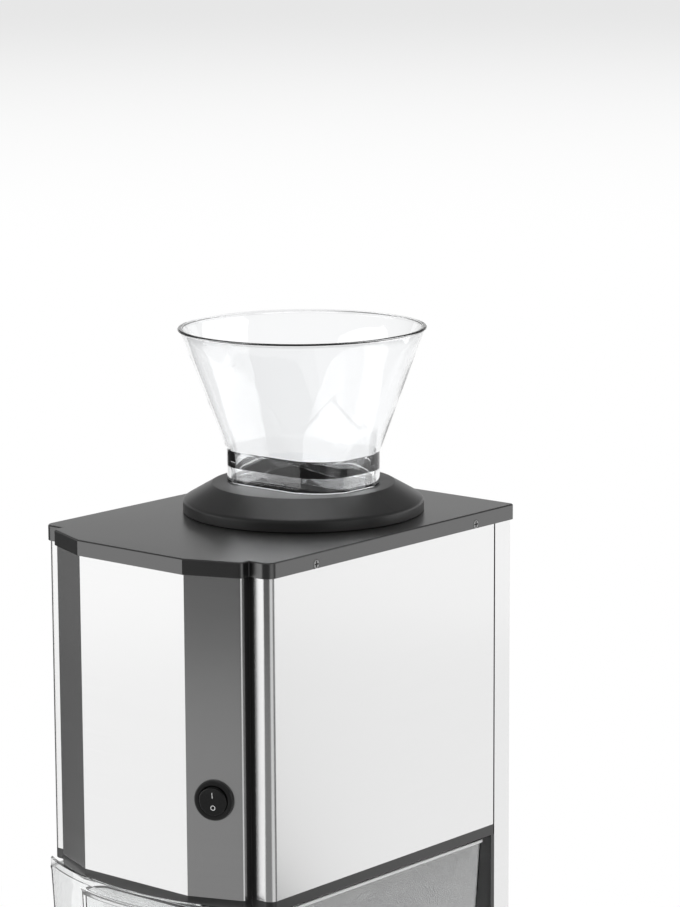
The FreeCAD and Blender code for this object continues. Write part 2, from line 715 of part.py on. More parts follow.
def body_plan(inset, rear_y, rounded=True):
    """The body's outline from above: flat front, two facets, two shoulders, straight sides."""
    x_front = front_corner(inset)
    x_facet, y_facet = facet_end(inset)
    y_front = front + inset
    y_shoulder = front + d.shoulder_back + inset
    x_side = half - inset
    facet_round = (d.facet_round - inset,) if rounded else ()
    shoulder_round = (d.shoulder_round - inset,) if rounded else ()
    rear_round = (d.rear_round - inset,) if rounded else ()
    right = (
        (x_front, y_front),
        (x_facet, y_facet) + facet_round,
        (x_facet, y_shoulder),
        (x_side, y_shoulder) + shoulder_round,
        (x_side, rear_y) + rear_round,
    )
    return right + mirrored(right)


def throat_plan(half_x, half_y, radius, y=0.0):
    return rectangle(-half_x, y - half_y, half_x, y + half_y, radius)


# the hopper's throat through the collar and the cover
narrowing = d.spout_taper * d.skirt_height / (d.skirt_height + d.spout_depth) - d.spout_gap
throat_half_x = d.skirt_half_x - narrowing
throat_half_y = d.skirt_half_y - narrowing
throat_round = d.skirt_round - narrowing

# along the rotor, from the middle of the chamber towards the front
chamber_half_length = d.chamber_length / 2
chamber_face = chamber_half_length + d.chamber_wall
plate_face = chamber_face + d.plate_thick
main_rear = plate_face + d.gear_gap
main_front = main_rear + d.main_face
fast_rear = main_front + d.gear_gap
fast_front = fast_rear + d.fast_face
case_inner = fast_front + d.gear_gap
case_face = case_inner + d.case_wall

# the gear train's axes, in the plane across the rotor
slow_centres = d.gear_module * (d.main_teeth + d.small_teeth) / 2
fast_centres = d.fast_module * (d.large_teeth + d.pinion_teeth) / 2
idler_x = slow_centres * sine(d.idler_angle)
idler_z = rotor_height - slow_centres * cosine(d.idler_angle)
motor_x = idler_x - fast_centres * sine(d.motor_angle)
motor_z = idler_z - fast_centres * cosine(d.motor_angle)


# ---------------------------------------------------------------- screws and their holes

def screw_points():
    """Places of the cover's side screws: side, then along the side and up."""
    z = d.cover_top - d.screw_drop
    for side in (-1, 1):
        for y in (front + d.screw_front, rear - d.screw_rear):
            yield side, y, z


def side_screw(name, side, y, z, extra):
    """A countersunk screw through the cover's rim, or its hole when extra is a clearance."""
    aim = "-X" if side > 0 else "+X"
    sink = d.screw_head - d.screw_radius
    at = (half * side, y, z)
    head = cone(name + "_head", d.screw_head + extra, d.screw_radius + extra, sink, at, aim)
    shank = cylinder(name + "_shank", d.screw_radius + extra, d.screw_length, at, aim)
    return fused(name, [head, shank])


def side_screw_holes(name):
    return fused(name, [side_screw(name + "_%d" % i, side, y, z, d.screw_gap)
                        for i, (side, y, z) in enumerate(screw_points())])


def make_cover_screws():
    screws = []
    for i, (side, y, z) in enumerate(screw_points()):
        name = "cover_screw_%d" % i
        screw = side_screw(name, side, y, z, 0.0)
        reach = d.cross_reach
        slot = d.cross_half
        outside = half * side
        inside = outside - d.cross_depth * side
        low, high = (inside, outside) if side > 0 else (outside, inside)
        upright = box(name + "_upright", low, y - slot, z - reach, high, y + slot, z + reach)
        level = box(name + "_level", low, y - reach, z - slot, high, y + reach, z + slot)
        screws.append(cut(name + "_crossed", screw, fused(name + "_cross", [upright, level])))
    grouped("cover_screws", screws)


def rear_screw_points():
    """Places of the screws that hold the rear panel: across and up."""
    low = base_top + d.rear_screw_margin
    pitch = (panel_top - d.rear_screw_margin - low) / (d.rear_screw_rows - 1)
    for side in (-1, 1):
        for step in range(int(d.rear_screw_rows.number)):
            yield (panel_half - d.screw_length) * side, low + pitch * step


def rear_screw_holes(name):
    radius = d.screw_radius + d.screw_gap
    return fused(name, [cylinder(name + "_%d" % i, radius, d.screw_length * 2, (x, back_face, z), "-Y")
                        for i, (x, z) in enumerate(rear_screw_points())])


def make_rear_screws():
    screws = []
    for i, (x, z) in enumerate(rear_screw_points()):
        name = "rear_screw_%d" % i
        head = cylinder(name + "_head", d.screw_head, d.screw_head_height, (x, back_face, z), "+Y")
        shank = cylinder(name + "_shank", d.screw_radius, d.screw_length, (x, back_face, z), "-Y")
        screws.append(fused(name, [head, shank]))
    grouped("rear_screws", screws)


def bolt(name, at, aim, length):
    """A large screw whose head's seat is at the given point; its shank runs along aim."""
    back = {"+X": "-X", "-X": "+X", "+Y": "-Y", "-Y": "+Y", "+Z": "-Z", "-Z": "+Z"}[aim]
    head = cylinder(name + "_head", d.bolt_head, d.bolt_head_height, at, back)
    shank = cylinder(name + "_shank", d.bolt_radius, length, at, aim)
    return fused(name, [head, shank])


def bolt_hole(name, at, aim, length):
    return cylinder(name, d.bolt_radius + d.screw_gap, length, at, aim)


# ---------------------------------------------------------------- casing

def make_top_cover():
    shell = Piece("top_cover_shell", final=False)
    shell.pad("XY", d.cover_top - d.cover_rim, d.cover_top, draw_outline, body_plan(0.0, rear))
    inside = body_plan(d.cover_wall, rear - d.cover_wall)
    shell.pocket("XY", d.cover_top - d.cover_rim, under_cover, draw_outline, inside)
    throat = throat_plan(throat_half_x, throat_half_y, throat_round, throat_y)
    shell.pocket("XY", under_cover, d.cover_top, draw_outline, throat)
    keep("top_cover", cut("top_cover_cut", shell.body, side_screw_holes("cover_holes")))


def make_collar():
    collar = Piece("hopper_collar", at=(0.0, throat_y, d.cover_top))
    rise = d.collar_rise
    collar.turned("Revolution", (
        (0.0, 0.0),
        (d.collar_radius, 0.0),
        (d.collar_radius, d.collar_band),
        (d.collar_radius - d.collar_bevel, d.collar_band + d.collar_bevel),
        (d.collar_flat, rise),
        (0.0, rise),
    ))
    wall = d.collar_wall
    collar.turned("Groove", (
        (0.0, 0.0),
        (d.collar_radius - wall, 0.0),
        (d.collar_radius - wall, d.collar_band - d.collar_bevel),
        (d.collar_flat - d.collar_bevel, rise - wall),
        (0.0, rise - wall),
    ))
    tube = throat_plan(throat_half_x + wall, throat_half_y + wall, throat_round + wall)
    collar.pad("XY", 0.0, rise - wall / 2, draw_outline, tube)
    throat = throat_plan(throat_half_x, throat_half_y, throat_round)
    collar.pocket("XY", 0.0, rise, draw_outline, throat)


def make_hopper():
    hopper = Piece("hopper", at=(0.0, throat_y, collar_top))
    wall = d.hopper_wall
    skirt = (d.skirt_half_x, d.skirt_half_y, d.skirt_round)
    spout = tuple(size - d.spout_taper for size in skirt)
    rim_half = d.collar_radius - d.rim_inset
    rim = (rim_half, rim_half + d.rim_stretch, rim_half - d.rim_flat)
    levels = (d.seat_gap - d.spout_depth, d.skirt_height, d.hopper_height)
    hopper.pad("XY", d.seat_gap, d.skirt_height, draw_outline, throat_plan(*skirt))
    hollow = tuple(size - wall for size in skirt)
    hopper.pocket("XY", d.seat_gap, d.skirt_height, draw_outline, throat_plan(*hollow))
    sections = [(z, (throat_plan(*size),)) for z, size in zip(levels, (spout, skirt, rim))]
    hopper.loft("AdditiveLoft", draw_outline, sections)
    bead = tuple(size + d.rim_bead for size in rim)
    hopper.pad("XY", d.hopper_height - d.rim_bead_height, d.hopper_height, draw_outline, throat_plan(*bead))
    inner = [tuple(size - wall for size in section) for section in (spout, skirt, rim)]
    sections = [(z, (throat_plan(*size),)) for z, size in zip(levels, inner)]
    hopper.loft("SubtractiveLoft", draw_outline, sections)


def sheet_strip(outer, inner):
    """A bent sheet's outline: its outer face one way and its inner face back."""
    return tuple(outer) + tuple(reversed(inner))


def switch_place():
    """The switch's centre on the right facet's outer face."""
    x = front_corner(d.panel_inset) + d.switch_along * cosine(d.facet_angle)
    y = front + d.panel_inset + d.switch_along * sine(d.facet_angle)
    return x, y, d.switch_height


def on_facet(name, final=True):
    """A piece whose own -Y looks out of the right facet, at the switch."""
    return Piece(name, at=switch_place(), turn=((0, 0, 1), d.facet_angle), final=final)


def make_front_panel():
    inset = d.panel_inset
    deep = inset + d.sheet
    sides = []
    for away in (inset, deep):
        x_facet, y_facet = facet_end(away)
        end_y = facet_end(inset)[1] + d.facet_round - inset + d.panel_return
        sides.append((
            (front_corner(away), front + away),
            (x_facet, y_facet, d.facet_round - away),
            (x_facet, end_y),
        ))
    outer = mirrored(sides[0]) + sides[0]
    inner = mirrored(sides[1]) + sides[1]
    panel = Piece("front_panel_sheet", final=False)
    panel.pad("XY", deck_top, panel_top, draw_outline, sheet_strip(outer, inner))
    hole = on_facet("switch_hole", final=False)
    round_hole = [(0.0, 0.0, d.switch_radius + d.switch_fit)]
    hole.pad("XZ", -d.sheet * 2, d.sheet * 3, draw_circles, round_hole)
    keep("front_panel", cut("front_panel_cut", panel.body, hole.body))


def post_edge():
    """Where a corner post's front strip ends and the side panel begins."""
    return facet_end(d.panel_inset)[0] + d.post_front


def make_side_panel(name, side):
    y_shoulder = front + d.shoulder_back + d.panel_inset
    x_start = post_edge() + d.post_gap
    radius = d.shoulder_round - d.panel_inset
    outer = ((x_start, y_shoulder), (panel_half, y_shoulder, radius), (panel_half, side_rear))
    inner = (
        (x_start, y_shoulder + d.sheet),
        (panel_half - d.sheet, y_shoulder + d.sheet, radius - d.sheet),
        (panel_half - d.sheet, side_rear),
    )
    strip = sheet_strip(outer, inner)
    panel = Piece(name + "_sheet", final=False)
    panel.pad("XY", deck_top, panel_top, draw_outline, strip if side > 0 else mirrored(strip))
    keep(name, cut(name + "_cut", panel.body, side_screw_holes(name + "_holes")))


def make_corner_post(name, side):
    x_face, y_facet = facet_end(d.panel_inset)
    y_start = y_facet + d.facet_round - d.panel_inset + d.panel_return + d.post_gap
    y_shoulder = front + d.shoulder_back + d.panel_inset
    x_end = post_edge()
    wall = d.post_wall
    corners = (
        (x_face, y_start),
        (x_face, y_shoulder),
        (x_end, y_shoulder),
        (x_end, y_shoulder + wall),
        (x_face - wall, y_shoulder + wall),
        (x_face - wall, y_start),
    )
    post = Piece(name)
    post.pad("XY", deck_top, panel_top, draw_outline, corners if side > 0 else mirrored(corners))


def make_rear_panel():
    panel = Piece("rear_panel_sheet", final=False)
    right_outer = ((panel_half, deck_rear), (panel_half, back_face, rear_bend))
    right_inner = (
        (panel_half - d.sheet, deck_rear),
        (panel_half - d.sheet, back_face - d.sheet, rear_bend - d.sheet / 2),
    )
    outer = right_outer + mirrored(right_outer)
    inner = right_inner + mirrored(right_inner)
    panel.pad("XY", base_top, panel_top, draw_outline, sheet_strip(outer, inner))
    for side in (-1, 1):
        across = d.vent_across * side
        half_slot = d.vent_length / 2
        slot = rectangle(across - half_slot, d.vent_low, across + half_slot, d.vent_low + d.vent_width)
        vent = panel.pocket("XZ", back_face - d.sheet * 2, back_face + d.sheet, draw_outline, slot)
        panel.row(vent, "Z_Axis", d.vent_count, d.vent_pitch)
    gland = [(gland_across, d.gland_height, d.gland_radius + d.screw_gap)]
    panel.pocket("XZ", back_face - d.sheet * 2, back_face + d.sheet, draw_circles, gland)
    keep("rear_panel", cut("rear_panel_cut", panel.body, rear_screw_holes("rear_panel_holes")))


# ---------------------------------------------------------------- deck, column and base

def chute_plan(grow):
    size_x = d.chamber_half + d.chute_wall + grow
    size_y = chamber_half_length + d.chute_wall + grow
    return size_x, size_y


def bracket_bolt_points():
    """Places of the bolts through the feet of the crusher's brackets."""
    x = d.chamber_half + d.chamber_wall + d.bracket_wall + d.bracket_foot / 2
    for side in (-1, 1):
        for way in (-1, 1):
            yield x * side, throat_y + d.bolt_spread / 2 * way


def make_deck():
    deck = Piece("mid_deck_moulding", final=False)
    outline = body_plan(d.panel_inset, deck_rear)
    deck.pad("XY", d.deck_bottom, deck_top, draw_outline, outline)
    inset = d.panel_inset + d.deck_wall
    under = body_plan(inset, deck_rear - d.deck_wall, rounded=False)
    deck.pocket("XY", d.deck_bottom, deck_top - d.deck_plate, draw_outline, under)
    size_x, size_y = chute_plan(d.chute_gap)
    opening = rectangle(-size_x, throat_y - size_y, size_x, throat_y + size_y)
    deck.pocket("XY", deck_top - d.deck_plate, deck_top, draw_outline, opening)
    gap = d.panel_inset + d.sheet + d.post_gap
    rib = gap + d.rib_wall
    side_rib = rectangle(half - rib, front + d.rib_start, half - gap, side_rear - d.rib_height)
    rib_half = front_half - d.front_rib_inset
    front_rib = rectangle(-rib_half, front + gap, rib_half, front + rib)
    ribs = [side_rib, mirrored(side_rib), front_rib]
    deck.pad("XY", deck_top - d.deck_plate / 2, deck_top + d.rib_height, many, ribs)
    holes = [bolt_hole("deck_hole_%d" % i, (x, y, deck_top), "-Z", d.deck_trim)
             for i, (x, y) in enumerate(bracket_bolt_points())]
    keep("mid_deck", cut("mid_deck_cut", deck.body, fused("deck_holes", holes)))


def make_column():
    column = Piece("rear_frame_moulding", final=False)
    wall = d.column_wall
    jamb_rear = bay_rear + d.jamb
    x_out = panel_half - d.sheet - d.post_gap
    y_out = back_face - d.sheet - d.post_gap
    column.pad("XY", base_top, d.deck_bottom, draw_outline,
               rectangle(-panel_half, bay_rear, panel_half, jamb_rear))
    joined = rectangle(-x_out, jamb_rear - wall / 2, x_out, jamb_rear + d.post_gap * 2)
    column.pad("XY", base_top, d.deck_bottom, draw_outline, joined)
    right = (
        (x_out, jamb_rear + d.post_gap),
        (x_out, y_out, rear_bend),
        (x_out - d.column_flange, y_out),
        (x_out - d.column_flange, y_out - wall),
        (x_out - wall, y_out - wall),
        (x_out - wall, jamb_rear + d.post_gap),
    )
    column.pad("XY", base_top, panel_top, many, [right, mirrored(right)])
    bar_half = x_out - wall
    column.pad("XY", panel_top - d.column_flange, panel_top, draw_outline,
               rectangle(-bar_half, y_out - wall, bar_half, y_out))
    bore = [(d.lock_across, lock_height, d.plunger_radius + d.plunger_gap)]
    column.pocket("XZ", bay_rear, jamb_rear + d.post_gap * 2, draw_circles, bore)
    tools = [rear_screw_holes("column_holes")]
    for i, (x, y) in enumerate(base_screw_points()):
        tools.append(cylinder("column_screw_hole_%d" % i, d.screw_radius + d.screw_gap,
                              d.long_screw, (x, y, base_top), "+Z"))
    keep("rear_frame", cut("rear_frame_cut", column.body, fused("column_tools", tools)))


def base_screw_points():
    for side in (-1, 1):
        yield d.lock_across * side, bay_rear + d.jamb / 2 + d.post_gap


def foot_points():
    """Centres of the four feet."""
    x = panel_half - d.foot_inset
    for side in (-1, 1):
        yield x * side, front + d.shoulder_back + d.foot_inset
        yield x * side, back_face - d.foot_inset


def make_base():
    base = Piece("base_moulding", final=False)
    outline = body_plan(d.panel_inset, back_face)
    base.pad("XY", d.foot_height, base_top, draw_outline, outline)
    inset = d.panel_inset + d.base_wall
    under = body_plan(inset, back_face - d.base_wall, rounded=False)
    base.pocket("XY", d.foot_height, base_top - d.base_wall, draw_outline, under)
    bosses = [(x, y, d.foot_radius) for x, y in foot_points()]
    base.pad("XY", d.foot_height, base_top - d.base_wall / 2, draw_circles, bosses)
    y_curb = front + d.rib_start
    curb = rectangle(panel_half - d.curb_wall, y_curb, panel_half, bay_rear - d.post_gap)
    base.pad("XY", base_top - d.base_wall / 2, base_top + d.curb_height, many, [curb, mirrored(curb)])
    holes = [cylinder("base_hole_%d" % i, d.screw_radius + d.screw_gap, d.base_wall * 2,
                      (x, y, base_top - d.base_wall * 2), "+Z")
             for i, (x, y) in enumerate(base_screw_points())]
    keep("base", cut("base_cut", base.body, fused("base_holes", holes)))


def make_feet():
    for i, (x, y) in enumerate(foot_points(), start=1):
        name = "foot_%d" % i
        keep(name, cone(name, d.foot_tip_radius, d.foot_radius, d.foot_height, (x, y, 0.0)))


def make_base_screws():
    screws = []
    seat = base_top - d.base_wall
    for i, (x, y) in enumerate(base_screw_points()):
        name = "base_screw_%d" % i
        under = seat - d.screw_head_height
        head = cylinder(name + "_head", d.screw_head, d.screw_head_height, (x, y, under), "+Z")
        shank = cylinder(name + "_shank", d.screw_radius, d.long_screw, (x, y, seat), "+Z")
        screws.append(fused(name, [head, shank]))
    grouped("base_screws", screws)


# ---------------------------------------------------------------- drawer and interlock

drawer_top = d.deck_bottom - d.drawer_top_gap
drawer_bottom = base_top + d.drawer_float
drawer_rear = bay_rear - d.drawer_rear_gap
bow_front = front - d.drawer_bow


def drawer_plan(drop, inset, front_inset):
    """The drawer's outline at some depth below its top, its walls drafted, set in by the walls."""
    shrink = drop * tangent(d.draft_angle)
    return (
        half - d.drawer_inset - shrink - inset,
        drawer_rear - shrink - inset,
        bow_front + shrink + front_inset,
        d.bow_radius - shrink - front_inset,
        d.drawer_front_round - inset / 2,
        d.drawer_round - inset,
    )


def make_drawer():
    drawer = Piece("drawer")
    wall = d.drawer_wall
    front_wall = d.drawer_front_wall
    deep = drawer_top - drawer_bottom
    floor = drawer_bottom + wall
    drawer.loft("AdditiveLoft", draw_bowed, [
        (drawer_bottom, drawer_plan(deep, 0.0, 0.0)),
        (drawer_top, drawer_plan(0.0, 0.0, 0.0)),
    ])
    bead = drawer_plan(0.0, -d.bead_width, 0.0)
    drawer.pad("XY", drawer_top - d.bead_height, drawer_top, draw_bowed, *bead)
    lip_top = drawer_top + d.lip_rise
    drawer.pad("XY", drawer_top, lip_top, draw_bowed, *drawer_plan(0.0, 0.0, 0.0))
    drawer.pocket("XY", drawer_top, lip_top, draw_bowed, *drawer_plan(0.0, -wall, d.lip_wall))
    drawer.loft("SubtractiveLoft", draw_bowed, [
        (floor, drawer_plan(deep - wall, wall, front_wall)),
        (drawer_top, drawer_plan(0.0, wall, front_wall)),
    ])
    top = drawer_top - d.grip_drop
    low = top - d.grip_height
    set_in = (drawer_top - low + d.grip_wall) * tangent(d.draft_angle) + d.drawer_float
    shell = (
        d.grip_half + d.grip_wall,
        bow_front + d.grip_depth + d.grip_wall,
        bow_front + set_in,
        d.bow_radius - set_in,
        d.grip_wall / 2,
        d.grip_round + d.grip_wall,
    )
    drawer.pad("XY", low - d.grip_wall, top + d.grip_wall, draw_bowed, *shell)
    rear_edge = bow_front + d.grip_depth
    recess = (
        (-d.grip_half, bow_front - d.drawer_bow),
        (d.grip_half, bow_front - d.drawer_bow),
        (d.grip_half, rear_edge, d.grip_round),
        (-d.grip_half, rear_edge, d.grip_round),
    )
    drawer.pocket("XY", low, top, draw_outline, recess)


def make_interlock():
    front_y = bay_rear + d.jamb + d.post_gap * 2
    left = d.lock_across - d.lock_width / 2
    low = lock_height - d.lock_tall / 2
    switch = box("interlock_block", left, front_y, low,
                 left + d.lock_width, front_y + d.lock_depth, low + d.lock_tall)
    bore = cylinder("interlock_bore", d.plunger_radius + d.plunger_gap, d.lock_depth - d.plunger_travel / 2,
                    (d.lock_across, front_y, lock_height), "+Y")
    keep("interlock_switch", cut("interlock_switch", switch, bore))
    drop = (drawer_top - lock_height) * tangent(d.draft_angle)
    tip = drawer_rear - drop + d.plunger_gap
    deep = front_y + d.lock_depth - d.plunger_travel * 2 - tip
    keep("interlock_plunger", cylinder("interlock_plunger", d.plunger_radius, deep,
                                       (d.lock_across, tip, lock_height), "+Y"))


# ---------------------------------------------------------------- crusher

bush_radius = d.shaft_radius + d.running_gap + d.bush_wall


def along(distance):
    """A place on the rotor's axis, measured from the chamber's middle towards the front."""
    return throat_y - distance


def ring(name, outer, inner, back, ahead, x=0.0, z=None):
    """A ring about an axis that runs front to back, between two distances along the rotor."""
    height = rotor_height if z is None else z
    at = (x, along(back), height)
    length = as_size(ahead) - back
    body = cylinder(name + "_outer", outer, length, at, "-Y")
    bore = cylinder(name + "_bore", inner, length, at, "-Y")
    return cut(name, body, bore)


def hex_reach(half_flats):
    """From a hexagon's centre to its corners."""
    return half_flats / cosine(as_size(180.0 / 6))


def hexagon(name, half_flats, back, ahead):
    """A hexagonal bar along the rotor's axis."""
    item = doc.addObject("Part::Prism", name)
    item.Polygon = 6
    bind(item, "Circumradius", hex_reach(half_flats))
    bind(item, "Height", as_size(ahead) - back)
    return place(item, (0.0, along(back), rotor_height), "-Y")


def rod(name, radius, back, ahead, x=0.0, z=None):
    height = rotor_height if z is None else z
    return cylinder(name, radius, as_size(ahead) - back, (x, along(back), height), "-Y")


def make_housing():
    housing = Piece("housing_block", at=(0.0, throat_y, 0.0), final=False)
    wall = d.chamber_wall
    top = under_cover - d.seat_gap
    size_x = d.chamber_half
    size_y = chamber_half_length
    outer = rectangle(-size_x - wall, -size_y - wall, size_x + wall, size_y + wall, wall / 2)
    housing.pad("XY", chamber_bottom, top, draw_outline, outer)
    inner = rectangle(-size_x, -size_y, size_x, size_y)
    housing.pocket("XY", chamber_bottom, top, draw_outline, inner)
    bore = [(0.0, rotor_height, bush_radius + d.seat_play)]
    reach = chamber_face + wall
    housing.pocket("XZ", -reach, reach, draw_circles, bore)
    holes = [bolt_hole("housing_hole_%d" % i, at, aim, d.chamber_wall + d.bracket_wall)
             for i, (at, aim) in enumerate(housing_bolt_points())]
    holes.extend(case_bolt_holes("housing"))
    keep("crusher_housing", cut("crusher_housing", housing.body, fused("housing_holes", holes)))


def housing_bolt_points():
    """Seats of the bolts that hold the housing to its brackets."""
    x = d.chamber_half + d.chamber_wall + d.bracket_wall
    z = chamber_bottom + d.bracket_rise / 2
    for side, aim in ((-1, "+X"), (1, "-X")):
        for way in (-1, 1):
            yield (x * side, throat_y + d.bolt_spread / 2 * way, z), aim


def make_bushes():
    inner = d.shaft_radius + d.running_gap
    outer = bush_radius
    flange = outer + d.bush_flange * 2
    back = -chamber_face
    rear = ring("rear_bush_sleeve", outer, inner, back, -chamber_half_length)
    collar = ring("rear_bush_flange", flange, inner, back - d.bush_flange, back)
    ahead = ring("front_bush", outer, inner, chamber_half_length, plate_face)
    grouped("crusher_bushes", [fused("rear_bush", [rear, collar]), ahead])


def make_shaft():
    rear_end = -chamber_face - d.bush_flange * 2
    inside = chamber_half_length - d.end_play
    journal = rod("shaft_journal", d.shaft_radius, rear_end, plate_face + d.end_play)
    middle = hexagon("shaft_middle", d.shaft_hex, -inside, inside)
    nose = hexagon("shaft_nose", d.nose_hex, plate_face, main_front + d.bush_flange)
    keep("crusher_shaft", fused("crusher_shaft", [journal, middle, nose]))


def hex_corners(half_flats):
    """A hexagon's corners, two of them level with its centre."""
    reach = hex_reach(half_flats)
    slant = reach / 2
    return ((reach, 0.0), (slant, half_flats), (-slant, half_flats),
            (-reach, 0.0), (-slant, -half_flats), (slant, -half_flats))


def make_blades():
    count = int(d.blade_count.number)
    for i in range(count):
        middle = (i - (d.blade_count - 1) / 2) * d.blade_pitch
        blade = Piece("crusher_blade_%d" % (i + 1), at=(0.0, throat_y + middle, rotor_height),
                      turn=((0, 1, 0), d.blade_angle * i))
        thick = d.blade_thick / 2
        tip_height = root(d.blade_tip * d.blade_tip - d.tooth_hook * d.tooth_hook)
        tooth = (
            (d.tooth_front_root, d.tooth_root),
            (d.tooth_throat_lean, d.tooth_throat),
            (d.tooth_hook, tip_height),
            (d.tooth_hook - d.tooth_land, tip_height - d.tooth_relief),
            (-d.tooth_back_root, d.tooth_root),
        )
        blade.pad("XZ", -thick, thick, draw_circles, [(0.0, 0.0, d.blade_hub)])
        blade.pattern(blade.pad("XZ", -thick, thick, draw_outline, tooth), d.tooth_count)
        blade.pocket("XZ", -thick, thick, draw_outline, hex_corners(d.shaft_hex + d.seat_play))


def make_spacers():
    spacers = []
    long_half = (d.blade_pitch - d.blade_thick) / 2 - d.end_play
    for i in range(int(d.blade_count.number) + 1):
        middle = (i - d.blade_count / 2) * d.blade_pitch
        name = "spacer_%d" % i
        back = middle - long_half
        ahead = middle + long_half
        body = rod(name + "_body", d.spacer_radius, back, ahead)
        spacers.append(cut(name, body, hexagon(name + "_bore", d.shaft_hex + d.seat_play, back, ahead)))
    grouped("blade_spacers", spacers)


def make_comb(name, angle):
    comb = Piece(name, at=(0.0, throat_y, rotor_height), turn=((0, 0, 1), angle))
    wall_x = d.chamber_half - d.seat_play
    plate_x = wall_x - d.comb_plate
    reach = chamber_half_length - d.end_play
    comb.pad("XY", -d.comb_drop, d.comb_rise, draw_outline, rectangle(plate_x, -reach, wall_x, reach))
    tip_x = d.spacer_radius + d.finger_gap
    finger = (
        (tip_x, -d.finger_tip / 2),
        (plate_x + d.comb_plate / 2, -d.finger_root / 2),
        (plate_x + d.comb_plate / 2, d.finger_tip / 2),
        (tip_x, d.finger_tip / 2),
    )
    middle = -d.blade_count / 2 * d.blade_pitch
    first = comb.pad("XZ", middle - d.finger_thick / 2, middle + d.finger_thick / 2, draw_outline, finger)
    comb.row(first, "Y_Axis", d.blade_count + 1, d.blade_pitch)


def make_chute():
    chute = Piece("ice_chute", at=(0.0, throat_y, 0.0))
    low = deck_top - d.deck_plate - d.chute_dip
    high = chamber_bottom - d.chute_gap
    size_x, size_y = chute_plan(0.0)
    chute.pad("XY", low, high, draw_outline, rectangle(-size_x, -size_y, size_x, size_y))
    flange = d.chute_flange
    foot = rectangle(-size_x - flange, -size_y - flange, size_x + flange, size_y + flange)
    chute.pad("XY", deck_top, deck_top + d.chute_wall, draw_outline, foot)
    wall = d.chute_wall
    inner = rectangle(wall - size_x, wall - size_y, size_x - wall, size_y - wall)
    chute.pocket("XY", low, high, draw_outline, inner)


def make_bracket(name, side):
    inner = d.chamber_half + d.chamber_wall
    wall = d.bracket_wall
    edge = inner + wall + d.bracket_foot
    top = chamber_bottom + d.bracket_rise
    profile = (
        (inner, deck_top + d.chute_wall + wall),
        (inner, top),
        (inner + wall, top),
        (inner + wall, deck_top + wall),
        (edge, deck_top + wall),
        (edge, deck_top),
        (inner + wall / 2, deck_top),
        (inner + wall / 2, deck_top + d.chute_wall + wall),
    )
    reach = d.bracket_length / 2
    bracket = Piece(name + "_plate", final=False)
    shape = profile if side > 0 else mirrored(profile)
    bracket.pad("XZ", throat_y - reach, throat_y + reach, draw_outline, shape)
    holes = [bolt_hole("%s_side_hole_%d" % (name, i), at, aim, d.bracket_wall * 2)
             for i, (at, aim) in enumerate(housing_bolt_points()) if at[0].number * side > 0]
    holes.extend(bolt_hole("%s_foot_hole_%d" % (name, i), (x, y, deck_top + wall), "-Z", wall * 2)
                 for i, (x, y) in enumerate(bracket_bolt_points()) if x.number * side > 0)
    keep(name, cut(name, bracket.body, fused(name + "_holes", holes)))


def make_housing_bolts():
    bolts = [bolt("housing_bolt_%d" % i, at, aim, d.bracket_wall + d.bolt_bite)
             for i, (at, aim) in enumerate(housing_bolt_points())]
    for i, (x, y) in enumerate(bracket_bolt_points()):
        seat = (x, y, deck_top + d.bracket_wall)
        bolts.append(bolt("deck_bolt_%d" % i, seat, "-Z", d.bracket_wall + d.bolt_bite))
    grouped("housing_screws", bolts)


# ---------------------------------------------------------------- gear train

def tooth_outline(teeth, module, play):
    """One tooth standing up from a gear's centre, its flanks through points of an involute."""
    pitch = module * teeth / 2
    base = pitch * cosine(d.pressure_angle)
    tip = pitch + module * d.addendum
    foot = pitch - module * d.dedendum
    start = larger(base + d.flank_margin, foot)
    radian = as_size(math.degrees(1))

    def roll(radius):
        slope = root(radius * radius / (base * base) - 1)
        angle = Size("(atan(" + slope.text + ") / (1 deg))", math.degrees(math.atan(slope.number)))
        return slope * radian - angle

    def flank(radius):
        at_pitch = QUARTER_TURN / teeth - play / 4 / pitch * radian
        return at_pitch + roll(pitch) - roll(radius)

    inside = foot - d.tooth_sink
    steps = [(inside, flank(start)), (start, flank(start)), (pitch, flank(pitch)), (tip, flank(tip))]
    right = [(radius * sine(angle), radius * cosine(angle)) for radius, angle in steps]
    left = [(-x, y) for x, y in reversed(right)]
    return tuple(right + left), foot


def add_gear(piece, teeth, module, back, ahead):
    """Adds a spur gear about the piece's own Y axis, between two distances along the rotor."""
    outline, foot = tooth_outline(teeth, module, d.backlash)
    low = throat_y - ahead
    high = throat_y - back
    piece.pad("XZ", low, high, draw_circles, [(0.0, 0.0, foot)])
    piece.pattern(piece.pad("XZ", low, high, draw_outline, outline), teeth)


def meshing_turn(towards, driver_turn, driver_teeth, teeth):
    """The turn that sets a gear's gap on its driver's tooth, along the line between their centres."""
    rolled = (towards - QUARTER_TURN - driver_turn) * driver_teeth / teeth
    return towards + QUARTER_TURN + rolled + HALF_TURN / teeth


idler_turn = meshing_turn(d.idler_angle - QUARTER_TURN, 0, d.main_teeth, d.small_teeth)
pinion_turn = meshing_turn(-d.motor_angle - QUARTER_TURN, idler_turn, d.large_teeth, d.pinion_teeth)


